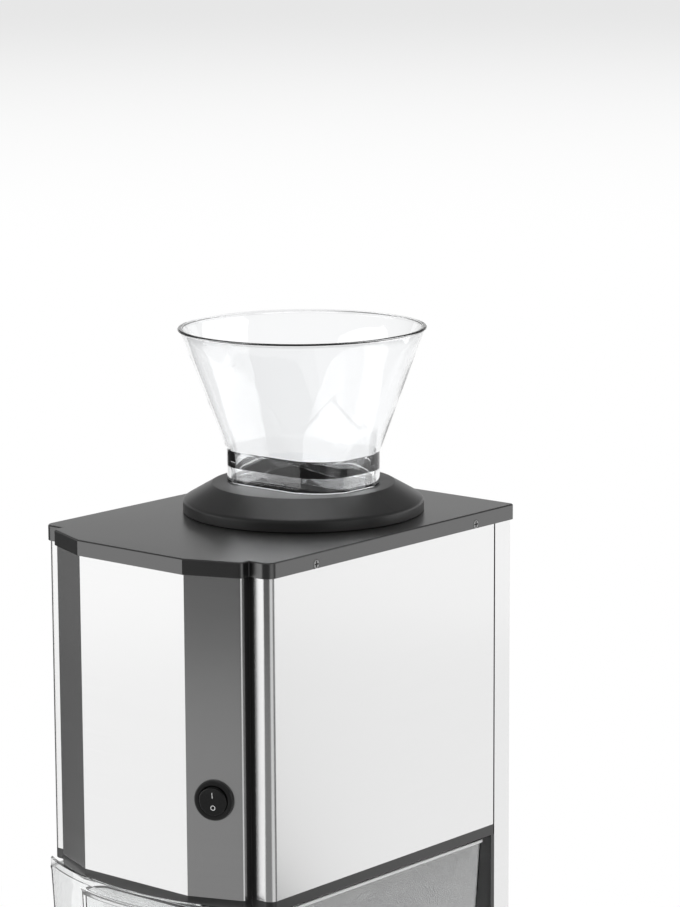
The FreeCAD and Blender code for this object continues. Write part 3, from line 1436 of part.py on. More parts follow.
def make_gears():
    main = Piece("main_gear", at=(0.0, 0.0, rotor_height))
    add_gear(main, d.main_teeth, d.gear_module, main_rear, main_front)
    low = along(main_front)
    high = along(main_rear)
    web = d.gear_module * d.main_teeth / 2 - d.web_inset
    for near, far in ((low, low + d.web_depth), (high - d.web_depth, high)):
        main.pocket("XZ", near, far, draw_circles, [(0.0, 0.0, web)])
    main.pad("XZ", low, high, draw_circles, [(0.0, 0.0, d.gear_hub)])
    main.pocket("XZ", low, high, draw_outline, hex_corners(d.nose_hex + d.seat_play))
    idler = Piece("idler_gear", at=(idler_x, 0.0, idler_z), turn=((0, -1, 0), idler_turn))
    add_gear(idler, d.small_teeth, d.gear_module, main_rear, fast_rear)
    add_gear(idler, d.large_teeth, d.fast_module, fast_rear, fast_front)
    bore = [(0.0, 0.0, d.pin_radius + d.running_gap)]
    idler.pocket("XZ", along(fast_front), along(main_rear), draw_circles, bore)
    pinion = Piece("motor_pinion", at=(motor_x, 0.0, motor_z), turn=((0, -1, 0), pinion_turn))
    add_gear(pinion, d.pinion_teeth, d.fast_module, fast_rear, fast_front)
    bore = [(0.0, 0.0, d.motor_shaft + d.seat_play)]
    pinion.pocket("XZ", along(fast_front), along(fast_rear), draw_circles, bore)
    pin_end = case_face - d.case_wall / 2
    keep("idler_pin", rod("idler_pin", d.pin_radius, chamber_face, pin_end, idler_x, idler_z))


# inner radii of the gearbox round its three axes
main_room = d.gear_module * (d.main_teeth / 2 + d.addendum) + d.case_margin
idler_room = d.fast_module * (d.large_teeth / 2 + d.addendum) + d.case_margin
pinion_room = d.fast_module * (d.pinion_teeth / 2 + d.addendum) + d.case_margin


def case_bolt_points():
    """Centres of the gearbox's lugs, across and up."""
    reach = main_room + d.case_wall
    for angle in (d.lug_angle_right, d.lug_angle_left, d.lug_angle_low):
        yield reach * cosine(angle), rotor_height + reach * sine(angle)
    reach = idler_room + d.case_wall
    yield idler_x + reach * cosine(d.lug_angle_idler), idler_z + reach * sine(d.lug_angle_idler)


def motor_bolt_points():
    reach = d.stator_radius + d.bolt_head
    for side in (-1, 1):
        yield motor_x + reach * side, motor_z


def case_bolt_holes(name):
    back = chamber_face - d.bolt_bite
    return [rod("%s_case_hole_%d" % (name, i), d.bolt_radius + d.screw_gap, back, case_face, x, z)
            for i, (x, z) in enumerate(case_bolt_points())]


def case_shell(name, back, ahead):
    """The gearbox's outline as a solid between two distances along the rotor."""
    wall = d.case_wall
    rods = [
        rod(name + "_main", main_room + wall, back, ahead),
        rod(name + "_idler", idler_room + wall, back, ahead, idler_x, idler_z),
        rod(name + "_pinion", pinion_room + wall, back, ahead, motor_x, motor_z),
    ]
    rods.extend(rod("%s_lug_%d" % (name, i), d.lug_radius, back, ahead, x, z)
                for i, (x, z) in enumerate(case_bolt_points()))
    return rods


def make_gearbox():
    plate = fused("plate_outline", case_shell("plate", chamber_face, plate_face))
    behind = chamber_face - d.end_play
    before = plate_face + d.end_play
    bush = rod("plate_bush_hole", bush_radius + d.seat_play, behind, before)
    pin = rod("plate_pin_hole", d.pin_radius + d.seat_play, behind, before, idler_x, idler_z)
    holes = fused("plate_holes", [bush, pin] + case_bolt_holes("plate"))
    keep("gearbox_plate", cut("gearbox_plate", plate, holes))
    solids = case_shell("case", plate_face, case_face)
    solids.append(rod("case_flange", d.stator_radius, case_inner, case_face, motor_x, motor_z))
    solids.extend(rod("case_motor_lug_%d" % i, d.lug_radius, case_inner, case_face, x, z)
                  for i, (x, z) in enumerate(motor_bolt_points()))
    behind = plate_face - d.end_play
    inside = case_inner - d.end_play
    outside = case_face + d.end_play
    pinion_hole = pinion_room - d.case_margin / 2
    pin_hole = d.pin_radius + d.seat_play
    pin_end = case_face - d.case_wall / 2
    rooms = [
        rod("case_main_room", main_room, behind, case_inner),
        rod("case_idler_room", idler_room, behind, case_inner, idler_x, idler_z),
        rod("case_pinion_room", pinion_room, behind, case_inner, motor_x, motor_z),
        rod("case_pin_hole", pin_hole, inside, pin_end + d.end_play, idler_x, idler_z),
        rod("case_pinion_hole", pinion_hole, inside, outside, motor_x, motor_z),
    ]
    rooms.extend(rod("case_motor_hole_%d" % i, d.bolt_radius + d.screw_gap, inside, outside, x, z)
                 for i, (x, z) in enumerate(motor_bolt_points()))
    rooms.extend(case_bolt_holes("case"))
    keep("gearbox_case", cut("gearbox_case", fused("case_outline", solids), fused("case_rooms", rooms)))
    length = case_face - chamber_face + d.bolt_bite
    bolts = [bolt("gearbox_bolt_%d" % i, (x, along(case_face), z), "+Y", length)
             for i, (x, z) in enumerate(case_bolt_points())]
    grouped("gearbox_screws", bolts)


# ---------------------------------------------------------------- motor

bell_rear = case_face + d.bell_length
bell_front = bell_rear + d.stator_length
motor_front = bell_front + d.bell_length
fan_rear = motor_front + d.fan_gap
fan_front = fan_rear + d.fan_width


def motor_ring(name, outer, inner, back, ahead):
    return ring(name, outer, inner, back, ahead, motor_x, motor_z)


def motor_rod(name, radius, back, ahead):
    return rod(name, radius, back, ahead, motor_x, motor_z)


def make_bell(name, back, ahead, cup_back, cup_ahead, bolts):
    """A motor end bell: a cup with two lugs, its bush's seat and the through bolts' holes."""
    solids = [motor_rod(name + "_body", d.stator_radius, back, ahead)]
    cup = motor_rod(name + "_cup", d.stator_radius - d.bell_wall, cup_back, cup_ahead)
    holes = [
        motor_rod(name + "_seat", d.motor_shaft + d.running_gap + d.motor_bush_wall + d.seat_play,
                  back - d.end_play, ahead + d.end_play),
    ]
    for i, (x, z) in enumerate(bolts):
        solids.append(rod("%s_lug_%d" % (name, i), d.lug_radius, back, ahead, x, z))
        holes.append(rod("%s_hole_%d" % (name, i), d.bolt_radius + d.screw_gap, back - d.end_play,
                         ahead + d.end_play, x, z))
    shell = cut(name + "_shell", fused(name + "_lugged", solids), cup)
    keep(name, cut(name, shell, fused(name + "_holes", holes)))


def make_motor():
    bolts = list(motor_bolt_points())
    stator = motor_ring("motor_stator_stack", d.stator_radius, d.stator_bore, bell_rear, bell_front)
    notches = [rod("stator_notch_%d" % i, d.bolt_radius + d.screw_gap, bell_rear, bell_front, x, z)
               for i, (x, z) in enumerate(bolts)]
    keep("motor_stator", cut("motor_stator", stator, fused("stator_notches", notches)))
    coils = [
        motor_ring("rear_coil", d.coil_outer, d.coil_inner, bell_rear - d.coil_length, bell_rear),
        motor_ring("front_coil", d.coil_outer, d.coil_inner, bell_front, bell_front + d.coil_length),
    ]
    grouped("motor_coils", coils)
    wall = d.bell_wall
    make_bell("motor_rear_bell", case_face, bell_rear, case_face + wall, bell_rear, bolts)
    make_bell("motor_front_bell", bell_front, motor_front, bell_front, motor_front - wall, bolts)
    shaft = motor_rod("motor_shaft", d.motor_shaft, fast_rear, fan_front)
    core = motor_rod("motor_core", d.stator_bore - d.air_gap, bell_rear, bell_front)
    keep("motor_armature", fused("motor_armature", [shaft, core]))
    inner = d.motor_shaft + d.running_gap
    outer = inner + d.motor_bush_wall
    reach = d.motor_bush_length
    bushes = [
        motor_ring("motor_rear_bush", outer, inner, case_face, case_face + reach),
        motor_ring("motor_front_bush", outer, inner, motor_front - reach, motor_front),
    ]
    grouped("motor_bushes", bushes)
    length = motor_front - case_inner - d.end_play
    long_bolts = [bolt("motor_bolt_%d" % i, (x, along(motor_front), z), "+Y", length)
                  for i, (x, z) in enumerate(bolts)]
    grouped("motor_screws", long_bolts)
    make_fan()


def make_fan():
    fan = Piece("motor_fan", at=(motor_x, 0.0, motor_z))
    low = along(fan_front)
    high = along(fan_rear)
    fan.pad("XZ", low, high, draw_circles, [(0.0, 0.0, d.fan_hub)])
    half_blade = d.fan_blade / 2
    blade = rectangle(-half_blade, d.fan_hub / 2, half_blade, d.fan_radius)
    fan.pattern(fan.pad("XZ", low, high, draw_outline, blade), d.fan_blades)
    fan.pad("XZ", high - d.fan_blade / 2, high, draw_circles, [(0.0, 0.0, d.fan_radius)])
    fan.pocket("XZ", low, high, draw_circles, [(0.0, 0.0, d.motor_shaft + d.seat_play)])


# ---------------------------------------------------------------- switch and cord gland

def make_switch():
    opening = d.rocker_radius + d.rocker_gap
    body = on_facet("switch_body")
    body.pad("XZ", 0.0, d.switch_depth, draw_circles, [(0.0, 0.0, d.switch_radius)])
    body.pocket("XZ", 0.0, d.rocker_room, draw_circles, [(0.0, 0.0, opening)])
    tabs = []
    for height in (-d.terminal_height, d.terminal_height):
        tab = rectangle(-d.terminal_width / 2, height, d.terminal_width / 2, height + d.terminal_thick)
        tabs.append(tab)
    body.pad("XZ", d.switch_depth - d.terminal_thick, d.switch_depth + d.terminal_length, many, tabs)
    bezel = on_facet("switch_bezel_ring", final=False)
    rim = [(0.0, 0.0, d.bezel_radius), (0.0, 0.0, opening)]
    bezel.pad("XZ", -d.bezel_thick, 0.0, draw_circles, rim)
    keep("switch_bezel", cut("switch_bezel", bezel.body, rocker_bar("rocker_seat", d.running_gap * 2)))


def turned_cylinder(name, radius, length, base, turn):
    """A cylinder that faces out of the right facet after a turn of its own."""
    item = doc.addObject("Part::Cylinder", name)
    spin = FreeCAD.Rotation(V(0, 0, 1), number_of(d.facet_angle))
    item.Placement = FreeCAD.Placement(V(0, 0, 0), spin.multiply(turn))
    bind(item, "Radius", radius)
    bind(item, "Height", length)
    for axis, value in zip("xyz", base):
        bind(item, "Placement.Base." + axis, value)
    return item


def rocker_bar(name, extra):
    """The pin that the rocker tilts on, or its seat when extra is a clearance."""
    x, y, z = switch_place()
    reach = d.rocker_radius + d.rocker_gap + d.rocker_pin_bite + extra
    start_x = x + d.rocker_pivot * sine(d.facet_angle) - reach * cosine(d.facet_angle)
    start_y = y - d.rocker_pivot * cosine(d.facet_angle) - reach * sine(d.facet_angle)
    sideways = FreeCAD.Rotation(V(0, 1, 0), QUARTER_TURN)
    return turned_cylinder(name, d.rocker_pin + extra, reach * 2, (start_x, start_y, z), sideways)


def make_rocker():
    """The rocker, at rest with its lower half pressed in, on a level pin in front of the panel."""
    x, y, z = switch_place()
    swing = d.rocker_half_angle
    back = d.rocker_thick - d.rocker_front + d.rocker_pivot
    stand = d.rocker_pivot - back * cosine(swing)
    base = (
        x + stand * sine(d.facet_angle),
        y - stand * cosine(d.facet_angle),
        z + back * sine(swing),
    )
    tilt = FreeCAD.Rotation(V(1, 0, 0), QUARTER_TURN + number_of(swing))
    disc = turned_cylinder("rocker_disc", d.rocker_radius, d.rocker_thick, base, tilt)
    keep("switch_rocker", fused("switch_rocker", [disc, rocker_bar("rocker_pin", 0.0)]))


def make_gland():
    x = gland_across
    z = d.gland_height
    barrel = cylinder("gland_barrel", d.gland_radius, d.gland_length, (x, back_face, z), "-Y")
    flange = cylinder("gland_flange", d.gland_flange, d.gland_face, (x, back_face, z), "+Y")
    length = d.gland_length + d.gland_face
    bore = cylinder("gland_bore", d.gland_bore, length, (x, back_face + d.gland_face, z), "-Y")
    keep("cord_gland", cut("cord_gland", fused("gland_solid", [barrel, flange]), bore))


make_top_cover()
make_collar()
make_hopper()
make_front_panel()
make_side_panel("side_panel_left", -1)
make_side_panel("side_panel_right", 1)
make_corner_post("corner_post_left", -1)
make_corner_post("corner_post_right", 1)
make_rear_panel()
make_deck()
make_column()
make_base()
make_feet()
make_cover_screws()
make_rear_screws()
make_base_screws()
make_drawer()
make_interlock()
make_housing()
make_bushes()
make_shaft()
make_blades()
make_spacers()
make_comb("fixed_comb_right", 0.0)
make_comb("fixed_comb_left", 180.0)
make_chute()
make_bracket("support_bracket_left", -1)
make_bracket("support_bracket_right", 1)
make_housing_bolts()
make_gears()
make_gearbox()
make_motor()
make_switch()
make_rocker()
make_gland()

doc.recompute()
for item in doc.Objects:
    if "Invalid" in item.State or "Error" in item.State:
        raise ValueError(item.Name + " could not be made")
for name, item in PARTS.items():
    if item.Shape.isNull() or not item.Shape.isValid():
        raise ValueError(name + " is not a sound solid")
os.makedirs("parts", exist_ok=True)
for name, item in PARTS.items():
    item.Shape.exportStep("parts/" + name + ".step")
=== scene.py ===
import json
import math

import bmesh
import bpy
from mathutils import Matrix, Vector


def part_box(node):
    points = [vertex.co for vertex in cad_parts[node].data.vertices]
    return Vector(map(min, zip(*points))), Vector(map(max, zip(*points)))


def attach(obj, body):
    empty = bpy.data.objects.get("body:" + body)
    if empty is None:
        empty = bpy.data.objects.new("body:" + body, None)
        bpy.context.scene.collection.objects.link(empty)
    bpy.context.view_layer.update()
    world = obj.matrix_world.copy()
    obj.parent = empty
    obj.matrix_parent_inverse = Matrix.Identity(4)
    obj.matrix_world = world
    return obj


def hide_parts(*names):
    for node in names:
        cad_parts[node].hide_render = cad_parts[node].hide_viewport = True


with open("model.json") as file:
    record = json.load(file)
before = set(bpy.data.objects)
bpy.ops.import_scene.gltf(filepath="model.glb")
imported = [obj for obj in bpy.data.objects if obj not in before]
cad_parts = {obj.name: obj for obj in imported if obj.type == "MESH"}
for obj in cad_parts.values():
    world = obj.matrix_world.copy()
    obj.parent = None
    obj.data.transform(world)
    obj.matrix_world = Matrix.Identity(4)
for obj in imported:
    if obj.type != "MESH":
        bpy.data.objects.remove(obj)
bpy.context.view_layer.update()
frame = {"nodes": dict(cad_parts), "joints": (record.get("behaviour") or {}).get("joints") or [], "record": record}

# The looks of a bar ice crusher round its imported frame: +X right, +Y back, +Z up.
# The camera and the studio are in metres. The pieces' own sizes are in millimetres, times MM.

MM = 0.001

nodes = frame["nodes"]
record = frame["record"]
slot_of = {part["node"]: part["material_slot"] for part in record["subparts"]}
body_of = {node: body for body, held in record["behaviour"]["bodies"].items() for node in held}
scene = bpy.context.scene
scene.view_settings.view_transform = "Standard"


# ---------------------------------------------------------------- camera

CAMERA_AT = (1.3712, -1.5391, 0.7655)
CAMERA_LENS = 136.65
CAMERA_RIGHT = (0.76128, 0.6484, -0.00494)
CAMERA_UP = (-0.11248, 0.13955, 0.98381)
CAMERA_FORWARD = (-0.63859, 0.7484, -0.17917)


def make_camera():
    """The photograph's viewpoint, with no shift and no depth of field."""
    data = bpy.data.cameras.new("camera")
    data.lens = CAMERA_LENS
    data.clip_start = 0.05
    data.clip_end = 60.0
    camera = bpy.data.objects.new("camera", data)
    axes = Matrix((CAMERA_RIGHT, CAMERA_UP, [-v for v in CAMERA_FORWARD])).transposed()
    camera.matrix_world = Matrix.Translation(CAMERA_AT) @ axes.to_4x4()
    scene.collection.objects.link(camera)
    scene.camera = camera


# ---------------------------------------------------------------- node helpers

def grey(level):
    return (level, level, level)


def opaque(color):
    return (*color, 1.0)


def tinted(color, factor):
    return tuple(min(1.0, c * factor) for c in color)


def feed(tree, socket, value):
    """Links another node's output to the socket, or writes a constant on it."""
    if hasattr(value, "is_linked"):
        tree.links.new(value, socket)
    else:
        socket.default_value = value


def add_node(tree, kind, **inputs):
    """A node with its inputs fed by name, where _ stands for a space."""
    node = tree.nodes.new(kind)
    for name, value in inputs.items():
        feed(tree, node.inputs[name.replace("_", " ")], value)
    return node


def add_math(tree, operation, *values):
    node = tree.nodes.new("ShaderNodeMath")
    node.operation = operation
    for socket, value in zip(node.inputs, values):
        feed(tree, socket, value)
    return node


def ranged(tree, value, given, wanted, kind="LINEAR"):
    """A value taken from the given range to the wanted one."""
    node = add_node(tree, "ShaderNodeMapRange", Value=value)
    node.interpolation_type = kind
    for name, level in zip(("From Min", "From Max", "To Min", "To Max"), (*given, *wanted)):
        node.inputs[name].default_value = level
    return node.outputs["Result"]


def empty_tree(data):
    data.use_nodes = True
    data.node_tree.nodes.clear()
    return data.node_tree


class Look:
    """A material whose shader is one Principled node, with short ways to feed its sockets."""

    def __init__(self, name, color, roughness, metallic=0.0, **constants):
        self.material = bpy.data.materials.new(name)
        self.material.use_nodes = True
        self.tree = self.material.node_tree
        self.shader = self.tree.nodes["Principled BSDF"]
        constants.update(Base_Color=opaque(color), Roughness=roughness, Metallic=metallic)
        for socket, value in constants.items():
            self.shader.inputs[socket.replace("_", " ")].default_value = value
        self.place = self.node("ShaderNodeTexCoord").outputs["Object"]

    def link(self, source, socket):
        self.tree.links.new(source, self.shader.inputs[socket])

    def node(self, kind, **inputs):
        return add_node(self.tree, kind, **inputs)

    def math(self, operation, *values):
        return add_math(self.tree, operation, *values).outputs["Value"]

    def stretched(self, stretch):
        """Object coordinates scaled per axis, so that a texture runs along the smallest scale."""
        return self.node("ShaderNodeMapping", Vector=self.place, Scale=stretch).outputs["Vector"]

    def noise(self, scale, detail=2.0, stretch=(1.0, 1.0, 1.0)):
        where = self.stretched(stretch)
        return self.node("ShaderNodeTexNoise", Vector=where, Scale=scale, Detail=detail).outputs["Fac"]

    def ramp(self, value, low, high):
        """A value from 0 to 1 taken to the range low to high."""
        return ranged(self.tree, value, (0.0, 1.0), (low, high))

    def vary_color(self, value, dark, light, start=0.3, end=0.7):
        """Base colour between two colours, along a texture."""
        node = self.node("ShaderNodeValToRGB", Fac=value)
        for element, place, color in zip(node.color_ramp.elements, (start, end), (dark, light)):
            element.position = place
            element.color = opaque(color)
        self.link(node.outputs["Color"], "Base Color")

    def vary_roughness(self, value, low, high):
        self.link(self.ramp(value, low, high), "Roughness")

    def bump(self, value, strength, distance):
        node = self.node("ShaderNodeBump", Height=value, Strength=strength, Distance=distance)
        self.link(node.outputs["Normal"], "Normal")


# ---------------------------------------------------------------- materials

# scales of a streaky texture along X, Y and Z: it runs along the smallest
ALONG_SHEET = (14.0, 14.0, 2400.0)
ALONG_BLADE = (300.0, 20.0, 20.0)
RINGS_ALONG_Y = (40.0, 2200.0, 40.0)
ACRYLIC_IOR = 1.49
COPPER = (0.75, 0.32, 0.12)
DARK_COPPER = (0.3, 0.1, 0.03)


def brushed_steel(name, level, roughness, stretch=ALONG_SHEET):
    """Steel brushed one way, with fine streaks in tone, gloss and height."""
    look = Look(name, grey(level), roughness, metallic=1.0, Anisotropic=0.45)
    radial = look.node("ShaderNodeTangent")
    radial.direction_type = "RADIAL"
    radial.axis = "Z"
    look.link(radial.outputs["Tangent"], "Tangent")
    streaks = look.noise(scale=1.0, detail=3.0, stretch=stretch)
    look.vary_color(streaks, grey(level * 0.97), grey(level * 1.03), start=0.0, end=1.0)
    look.vary_roughness(streaks, low=roughness * 0.9, high=roughness * 1.12)
    look.bump(streaks, strength=0.01, distance=0.004 * MM)
    return look.material


def satin_coat(name, level, roughness):
    """The cover's dark satin finish, even but for a slight drift of tone and gloss."""
    look = Look(name, grey(level), roughness, metallic=1.0)
    tone = look.noise(scale=10.0, detail=0.0)
    look.vary_color(tone, grey(level * 0.97), grey(level * 1.03), start=0.0, end=1.0)
    gloss = look.noise(scale=14.0, detail=0.0)
    look.vary_roughness(gloss, low=roughness * 0.96, high=roughness * 1.04)
    look.bump(look.noise(scale=900.0, detail=0.0), strength=0.02, distance=0.01 * MM)
    return look.material


def moulded_plastic(name, color, roughness, **constants):
    """Plain moulded plastic with a fine skin and slight changes of gloss."""
    look = Look(name, color, roughness, **constants)
    look.vary_color(look.noise(scale=24.0), tinted(color, 0.94), tinted(color, 1.06))
    gloss = look.noise(scale=60.0, detail=3.0)
    look.vary_roughness(gloss, low=roughness * 0.9, high=roughness * 1.12)
    look.bump(look.noise(scale=1800.0), strength=0.12, distance=0.03 * MM)
    return look.material


def clear_look(name, color, waviness):
    """Clear moulded plastic, very slightly wavy."""
    look = Look(name, color, roughness=0.02, Transmission_Weight=1.0, IOR=ACRYLIC_IOR)
    look.vary_roughness(look.noise(scale=40.0), low=0.0, high=0.03)
    look.bump(look.noise(scale=28.0), strength=waviness, distance=0.4 * MM)
    return look


def clear_plastic(name, color, waviness):
    return clear_look(name, color, waviness).material


# the drawer is widest at the level DRAWER_TOP, and its sides lean in by DRAWER_DRAFT below it
DRAWER_TOP = 139.5 * MM
DRAWER_DRAFT = math.tan(math.radians(2.6))
FROST_DEPTH = 1.0 * MM


def frosted_box(name, color, waviness, frost):
    """The drawer's clear plastic, whose outer sides, left and right, scatter the share frost of the light."""
    look = clear_look(name, color, waviness)
    split = look.node("ShaderNodeSeparateXYZ", Vector=look.place)
    width = look.math("ABSOLUTE", split.outputs["X"])
    narrowing = look.math("MULTIPLY", split.outputs["Z"], DRAWER_DRAFT)
    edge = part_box("drawer")[1].x - DRAWER_TOP * DRAWER_DRAFT - FROST_DEPTH
    outside = look.math("GREATER_THAN", look.math("SUBTRACT", width, narrowing), edge)
    look.link(look.ramp(outside, 1.0, 1.0 - frost), "Transmission Weight")
    return look.material


def rubber(name, color):
    look = Look(name, color, roughness=0.75)
    look.vary_color(look.noise(scale=120.0), tinted(color, 0.85), tinted(color, 1.15))
    look.vary_roughness(look.noise(scale=200.0), low=0.65, high=0.85)
    look.bump(look.noise(scale=1500.0), strength=0.25, distance=0.06 * MM)
    return look.material


def turned_metal(name, color, roughness):
    """Machined metal, with fine rings along Y from turning."""
    look = Look(name, color, roughness, metallic=1.0)
    rings = look.noise(scale=1.0, stretch=RINGS_ALONG_Y)
    look.vary_color(look.noise(scale=50.0), tinted(color, 0.92), tinted(color, 1.05))
    look.vary_roughness(rings, low=roughness * 0.8, high=roughness * 1.3)
    look.bump(rings, strength=0.08, distance=0.03 * MM)
    return look.material


def cast_metal(name, color):
    look = Look(name, color, roughness=0.5, metallic=1.0)
    look.vary_color(look.noise(scale=90.0, detail=4.0), tinted(color, 0.86), tinted(color, 1.08))
    look.vary_roughness(look.noise(scale=220.0, detail=3.0), low=0.42, high=0.6)
    look.bump(look.noise(scale=700.0, detail=3.0), strength=0.35, distance=0.1 * MM)
    return look.material


def banded(name, dark, light, pitch, roughness):
    """Layers along Y seen edge on, such as laminations or windings; pitch is in millimetres."""
    look = Look(name, light, roughness, metallic=0.9)
    wave = look.node("ShaderNodeTexWave", Vector=look.place, Scale=1.0 / (pitch * MM), Distortion=0.3)
    wave.bands_direction = "Y"
    look.vary_color(wave.outputs["Fac"], dark, light)
    look.bump(wave.outputs["Fac"], strength=0.4, distance=0.2 * MM)
    return look.material


def painted_mark(name, color):
    look = Look(name, color, roughness=0.45)
    look.vary_color(look.noise(scale=900.0), tinted(color, 0.93), color)
    return look.material


# the kind of material of each slot, and that kind's values
RECIPES = {
    "cover_steel": (satin_coat, dict(level=0.13, roughness=0.28)),
    "panel_steel": (brushed_steel, dict(level=0.72, roughness=0.2)),
    "black_plastic": (moulded_plastic, dict(color=grey(0.026), roughness=0.32)),
    "collar_plastic": (moulded_plastic, dict(color=grey(0.005), roughness=0.36, IOR=1.6)),
    "hopper_clear": (clear_plastic, dict(color=(0.97, 0.975, 0.98), waviness=0.003)),
    "drawer_clear": (frosted_box, dict(color=(0.99, 0.995, 0.995), waviness=0.004, frost=0.8)),
    "foot_rubber": (rubber, dict(color=grey(0.02))),
    "gland_rubber": (rubber, dict(color=grey(0.015))),
    "screw_steel": (turned_metal, dict(color=grey(0.26), roughness=0.26)),
    "switch_black": (moulded_plastic, dict(color=grey(0.01), roughness=0.28)),
    "rocker_black": (moulded_plastic, dict(color=grey(0.01), roughness=0.22)),
    "plunger_plastic": (moulded_plastic, dict(color=(0.6, 0.05, 0.04), roughness=0.4)),
    "cast_aluminium": (cast_metal, dict(color=(0.62, 0.63, 0.65))),
    "bush_bronze": (turned_metal, dict(color=(0.55, 0.36, 0.16), roughness=0.35)),
    "shaft_steel": (turned_metal, dict(color=grey(0.55), roughness=0.22)),
    "blade_steel": (brushed_steel, dict(level=0.58, roughness=0.22, stretch=ALONG_BLADE)),
    "bracket_steel": (brushed_steel, dict(level=0.52, roughness=0.35)),
    "gear_steel": (turned_metal, dict(color=grey(0.42), roughness=0.3)),
    "gear_nylon": (moulded_plastic, dict(color=(0.7, 0.68, 0.6), roughness=0.42)),
    "chute_plastic": (moulded_plastic, dict(color=(0.62, 0.63, 0.64), roughness=0.4)),
    "case_plastic": (moulded_plastic, dict(color=grey(0.08), roughness=0.45)),
    "stator_iron": (banded, dict(dark=grey(0.12), light=grey(0.28), pitch=1.6, roughness=0.45)),
    "winding_copper": (banded, dict(dark=DARK_COPPER, light=COPPER, pitch=2.4, roughness=0.3)),
    "fan_plastic": (moulded_plastic, dict(color=grey(0.05), roughness=0.4)),
    "switch_mark": (painted_mark, dict(color=grey(0.92))),
}


def make_materials():
    """One material for each slot of the record, by slot name."""
    return {slot: kind(slot, **values) for slot, (kind, values) in RECIPES.items()}


def dress(mesh, node):
    """Gives a mesh the material of a CAD node, and smooth shading on its round faces."""
    mesh.materials.clear()
    mesh.materials.append(materials[slot_of[node]])
    shade(mesh)


def dress_nodes():
    for node in slot_of:
        dress(nodes[node].data, node)


# ---------------------------------------------------------------- stage and light

FLOOR_RADIUS = 14.0
FLOOR_SIDES = 64
FLOOR_GREY = 0.85
# the floor mixes its shadow with its own glow up to GLOW_FROM, and greys from WHITE_TO to GREY_FROM
SHADOW_TO = 0.18
GLOW_FROM = 0.42
FLOOR_GLOW = 0.55
WHITE_TO = 4.2
GREY_FROM = 13.0
BACKDROP_GREY = 0.8
# the sine of the height above the horizon from which the backdrop is white, and its diffuse light
SKY_WHITE_FROM = 0.3
SKY_LIGHT = 0.7


def add_object(name, mesh, material=None):
    item = bpy.data.objects.new(name, mesh)
    scene.collection.objects.link(item)
    if material is not None:
        mesh.materials.append(material)
    return item


def mesh_from(name, points, faces):
    mesh = bpy.data.meshes.new(name)
    mesh.from_pydata([Vector(p) for p in points], [], faces)
    mesh.update()
    return mesh


def seen_rays(tree):
    """1 for the rays that should see the plain background: camera, glossy and transmission."""
    path = tree.nodes.new("ShaderNodeLightPath")
    total = path.outputs["Is Camera Ray"]
    for ray in ("Is Glossy Ray", "Is Transmission Ray"):
        plus = add_math(tree, "ADD", total, path.outputs[ray])
        plus.use_clamp = True
        total = plus.outputs["Value"]
    return total


def floor_material():
    """A floor that keeps the object's shadow near it, is white round it and greys slightly far behind."""
    material = bpy.data.materials.new("floor")
    tree = empty_tree(material)
    reach = tree.nodes.new("ShaderNodeVectorMath")
    reach.operation = "LENGTH"
    feed(tree, reach.inputs[0], add_node(tree, "ShaderNodeTexCoord").outputs["Object"])
    distance = reach.outputs["Value"]
    tone = ranged(tree, distance, (WHITE_TO, GREY_FROM), (1.0, BACKDROP_GREY), "SMOOTHSTEP")
    share = ranged(tree, distance, (SHADOW_TO, GLOW_FROM), (FLOOR_GLOW, 1.0))
    diffuse = add_node(tree, "ShaderNodeBsdfDiffuse", Color=opaque(grey(FLOOR_GREY)))
    glow = add_node(tree, "ShaderNodeEmission", Color=tone, Strength=seen_rays(tree))
    mix = add_node(tree, "ShaderNodeMixShader", Fac=share)
    feed(tree, mix.inputs[1], diffuse.outputs["BSDF"])
    feed(tree, mix.inputs[2], glow.outputs["Emission"])
    add_node(tree, "ShaderNodeOutputMaterial", Surface=mix.outputs["Shader"])
    return material


def make_floor():
    points = [around(i * 360.0 / FLOOR_SIDES, FLOOR_RADIUS, 0.0) for i in range(FLOOR_SIDES)]
    floor = add_object("floor", mesh_from("floor", points, [tuple(range(FLOOR_SIDES))]), floor_material())


def make_world():
    """The floor's far grey at the horizon, white above it, and a lower level for diffuse light."""
    world = bpy.data.worlds.new("studio")
    scene.world = world
    world.use_nodes = True
    tree = world.node_tree
    direction = add_node(tree, "ShaderNodeTexCoord").outputs["Generated"]
    height = add_node(tree, "ShaderNodeSeparateXYZ", Vector=direction).outputs["Z"]
    tone = ranged(tree, height, (0.0, SKY_WHITE_FROM), (BACKDROP_GREY, 1.0), "SMOOTHSTEP")
    level = ranged(tree, seen_rays(tree), (0.0, 1.0), (SKY_LIGHT, 1.0))
    background = tree.nodes["Background"]
    feed(tree, background.inputs["Color"], tone)
    feed(tree, background.inputs["Strength"], level)


LAMP_FOOT = 0.02
TOP_LAMP_AT = (0.0, 0.1, 2.4)
TOP_LAMP_AIM = (0.0, 0.0, 0.25)


def around(azimuth, distance, height):
    """A place round the object: azimuth 0 is in front of it and 90 to its right, in degrees."""
    a = math.radians(azimuth)
    return (distance * math.sin(a), -distance * math.cos(a), height)


def softbox(name, at, aim, width, height, strength):
    """A soft area lamp of the brightness strength; the cards stand for it in reflections."""
    data = bpy.data.lights.new(name, "AREA")
    data.shape = "RECTANGLE"
    data.size = width
    data.size_y = height
    data.energy = strength * width * height * math.pi
    lamp = bpy.data.objects.new(name, data)
    lamp.location = at
    lamp.rotation_euler = (Vector(aim) - Vector(at)).to_track_quat("-Z", "Y").to_euler()
    lamp.visible_camera = False
    lamp.visible_glossy = False
    scene.collection.objects.link(lamp)


def standing_box(name, azimuth, distance, width, height, strength):
    """A softbox that stands upright just above the floor and faces the object."""
    level = height / 2 + LAMP_FOOT
    softbox(name, around(azimuth, distance, level), (0.0, 0.0, level), width, height, strength)


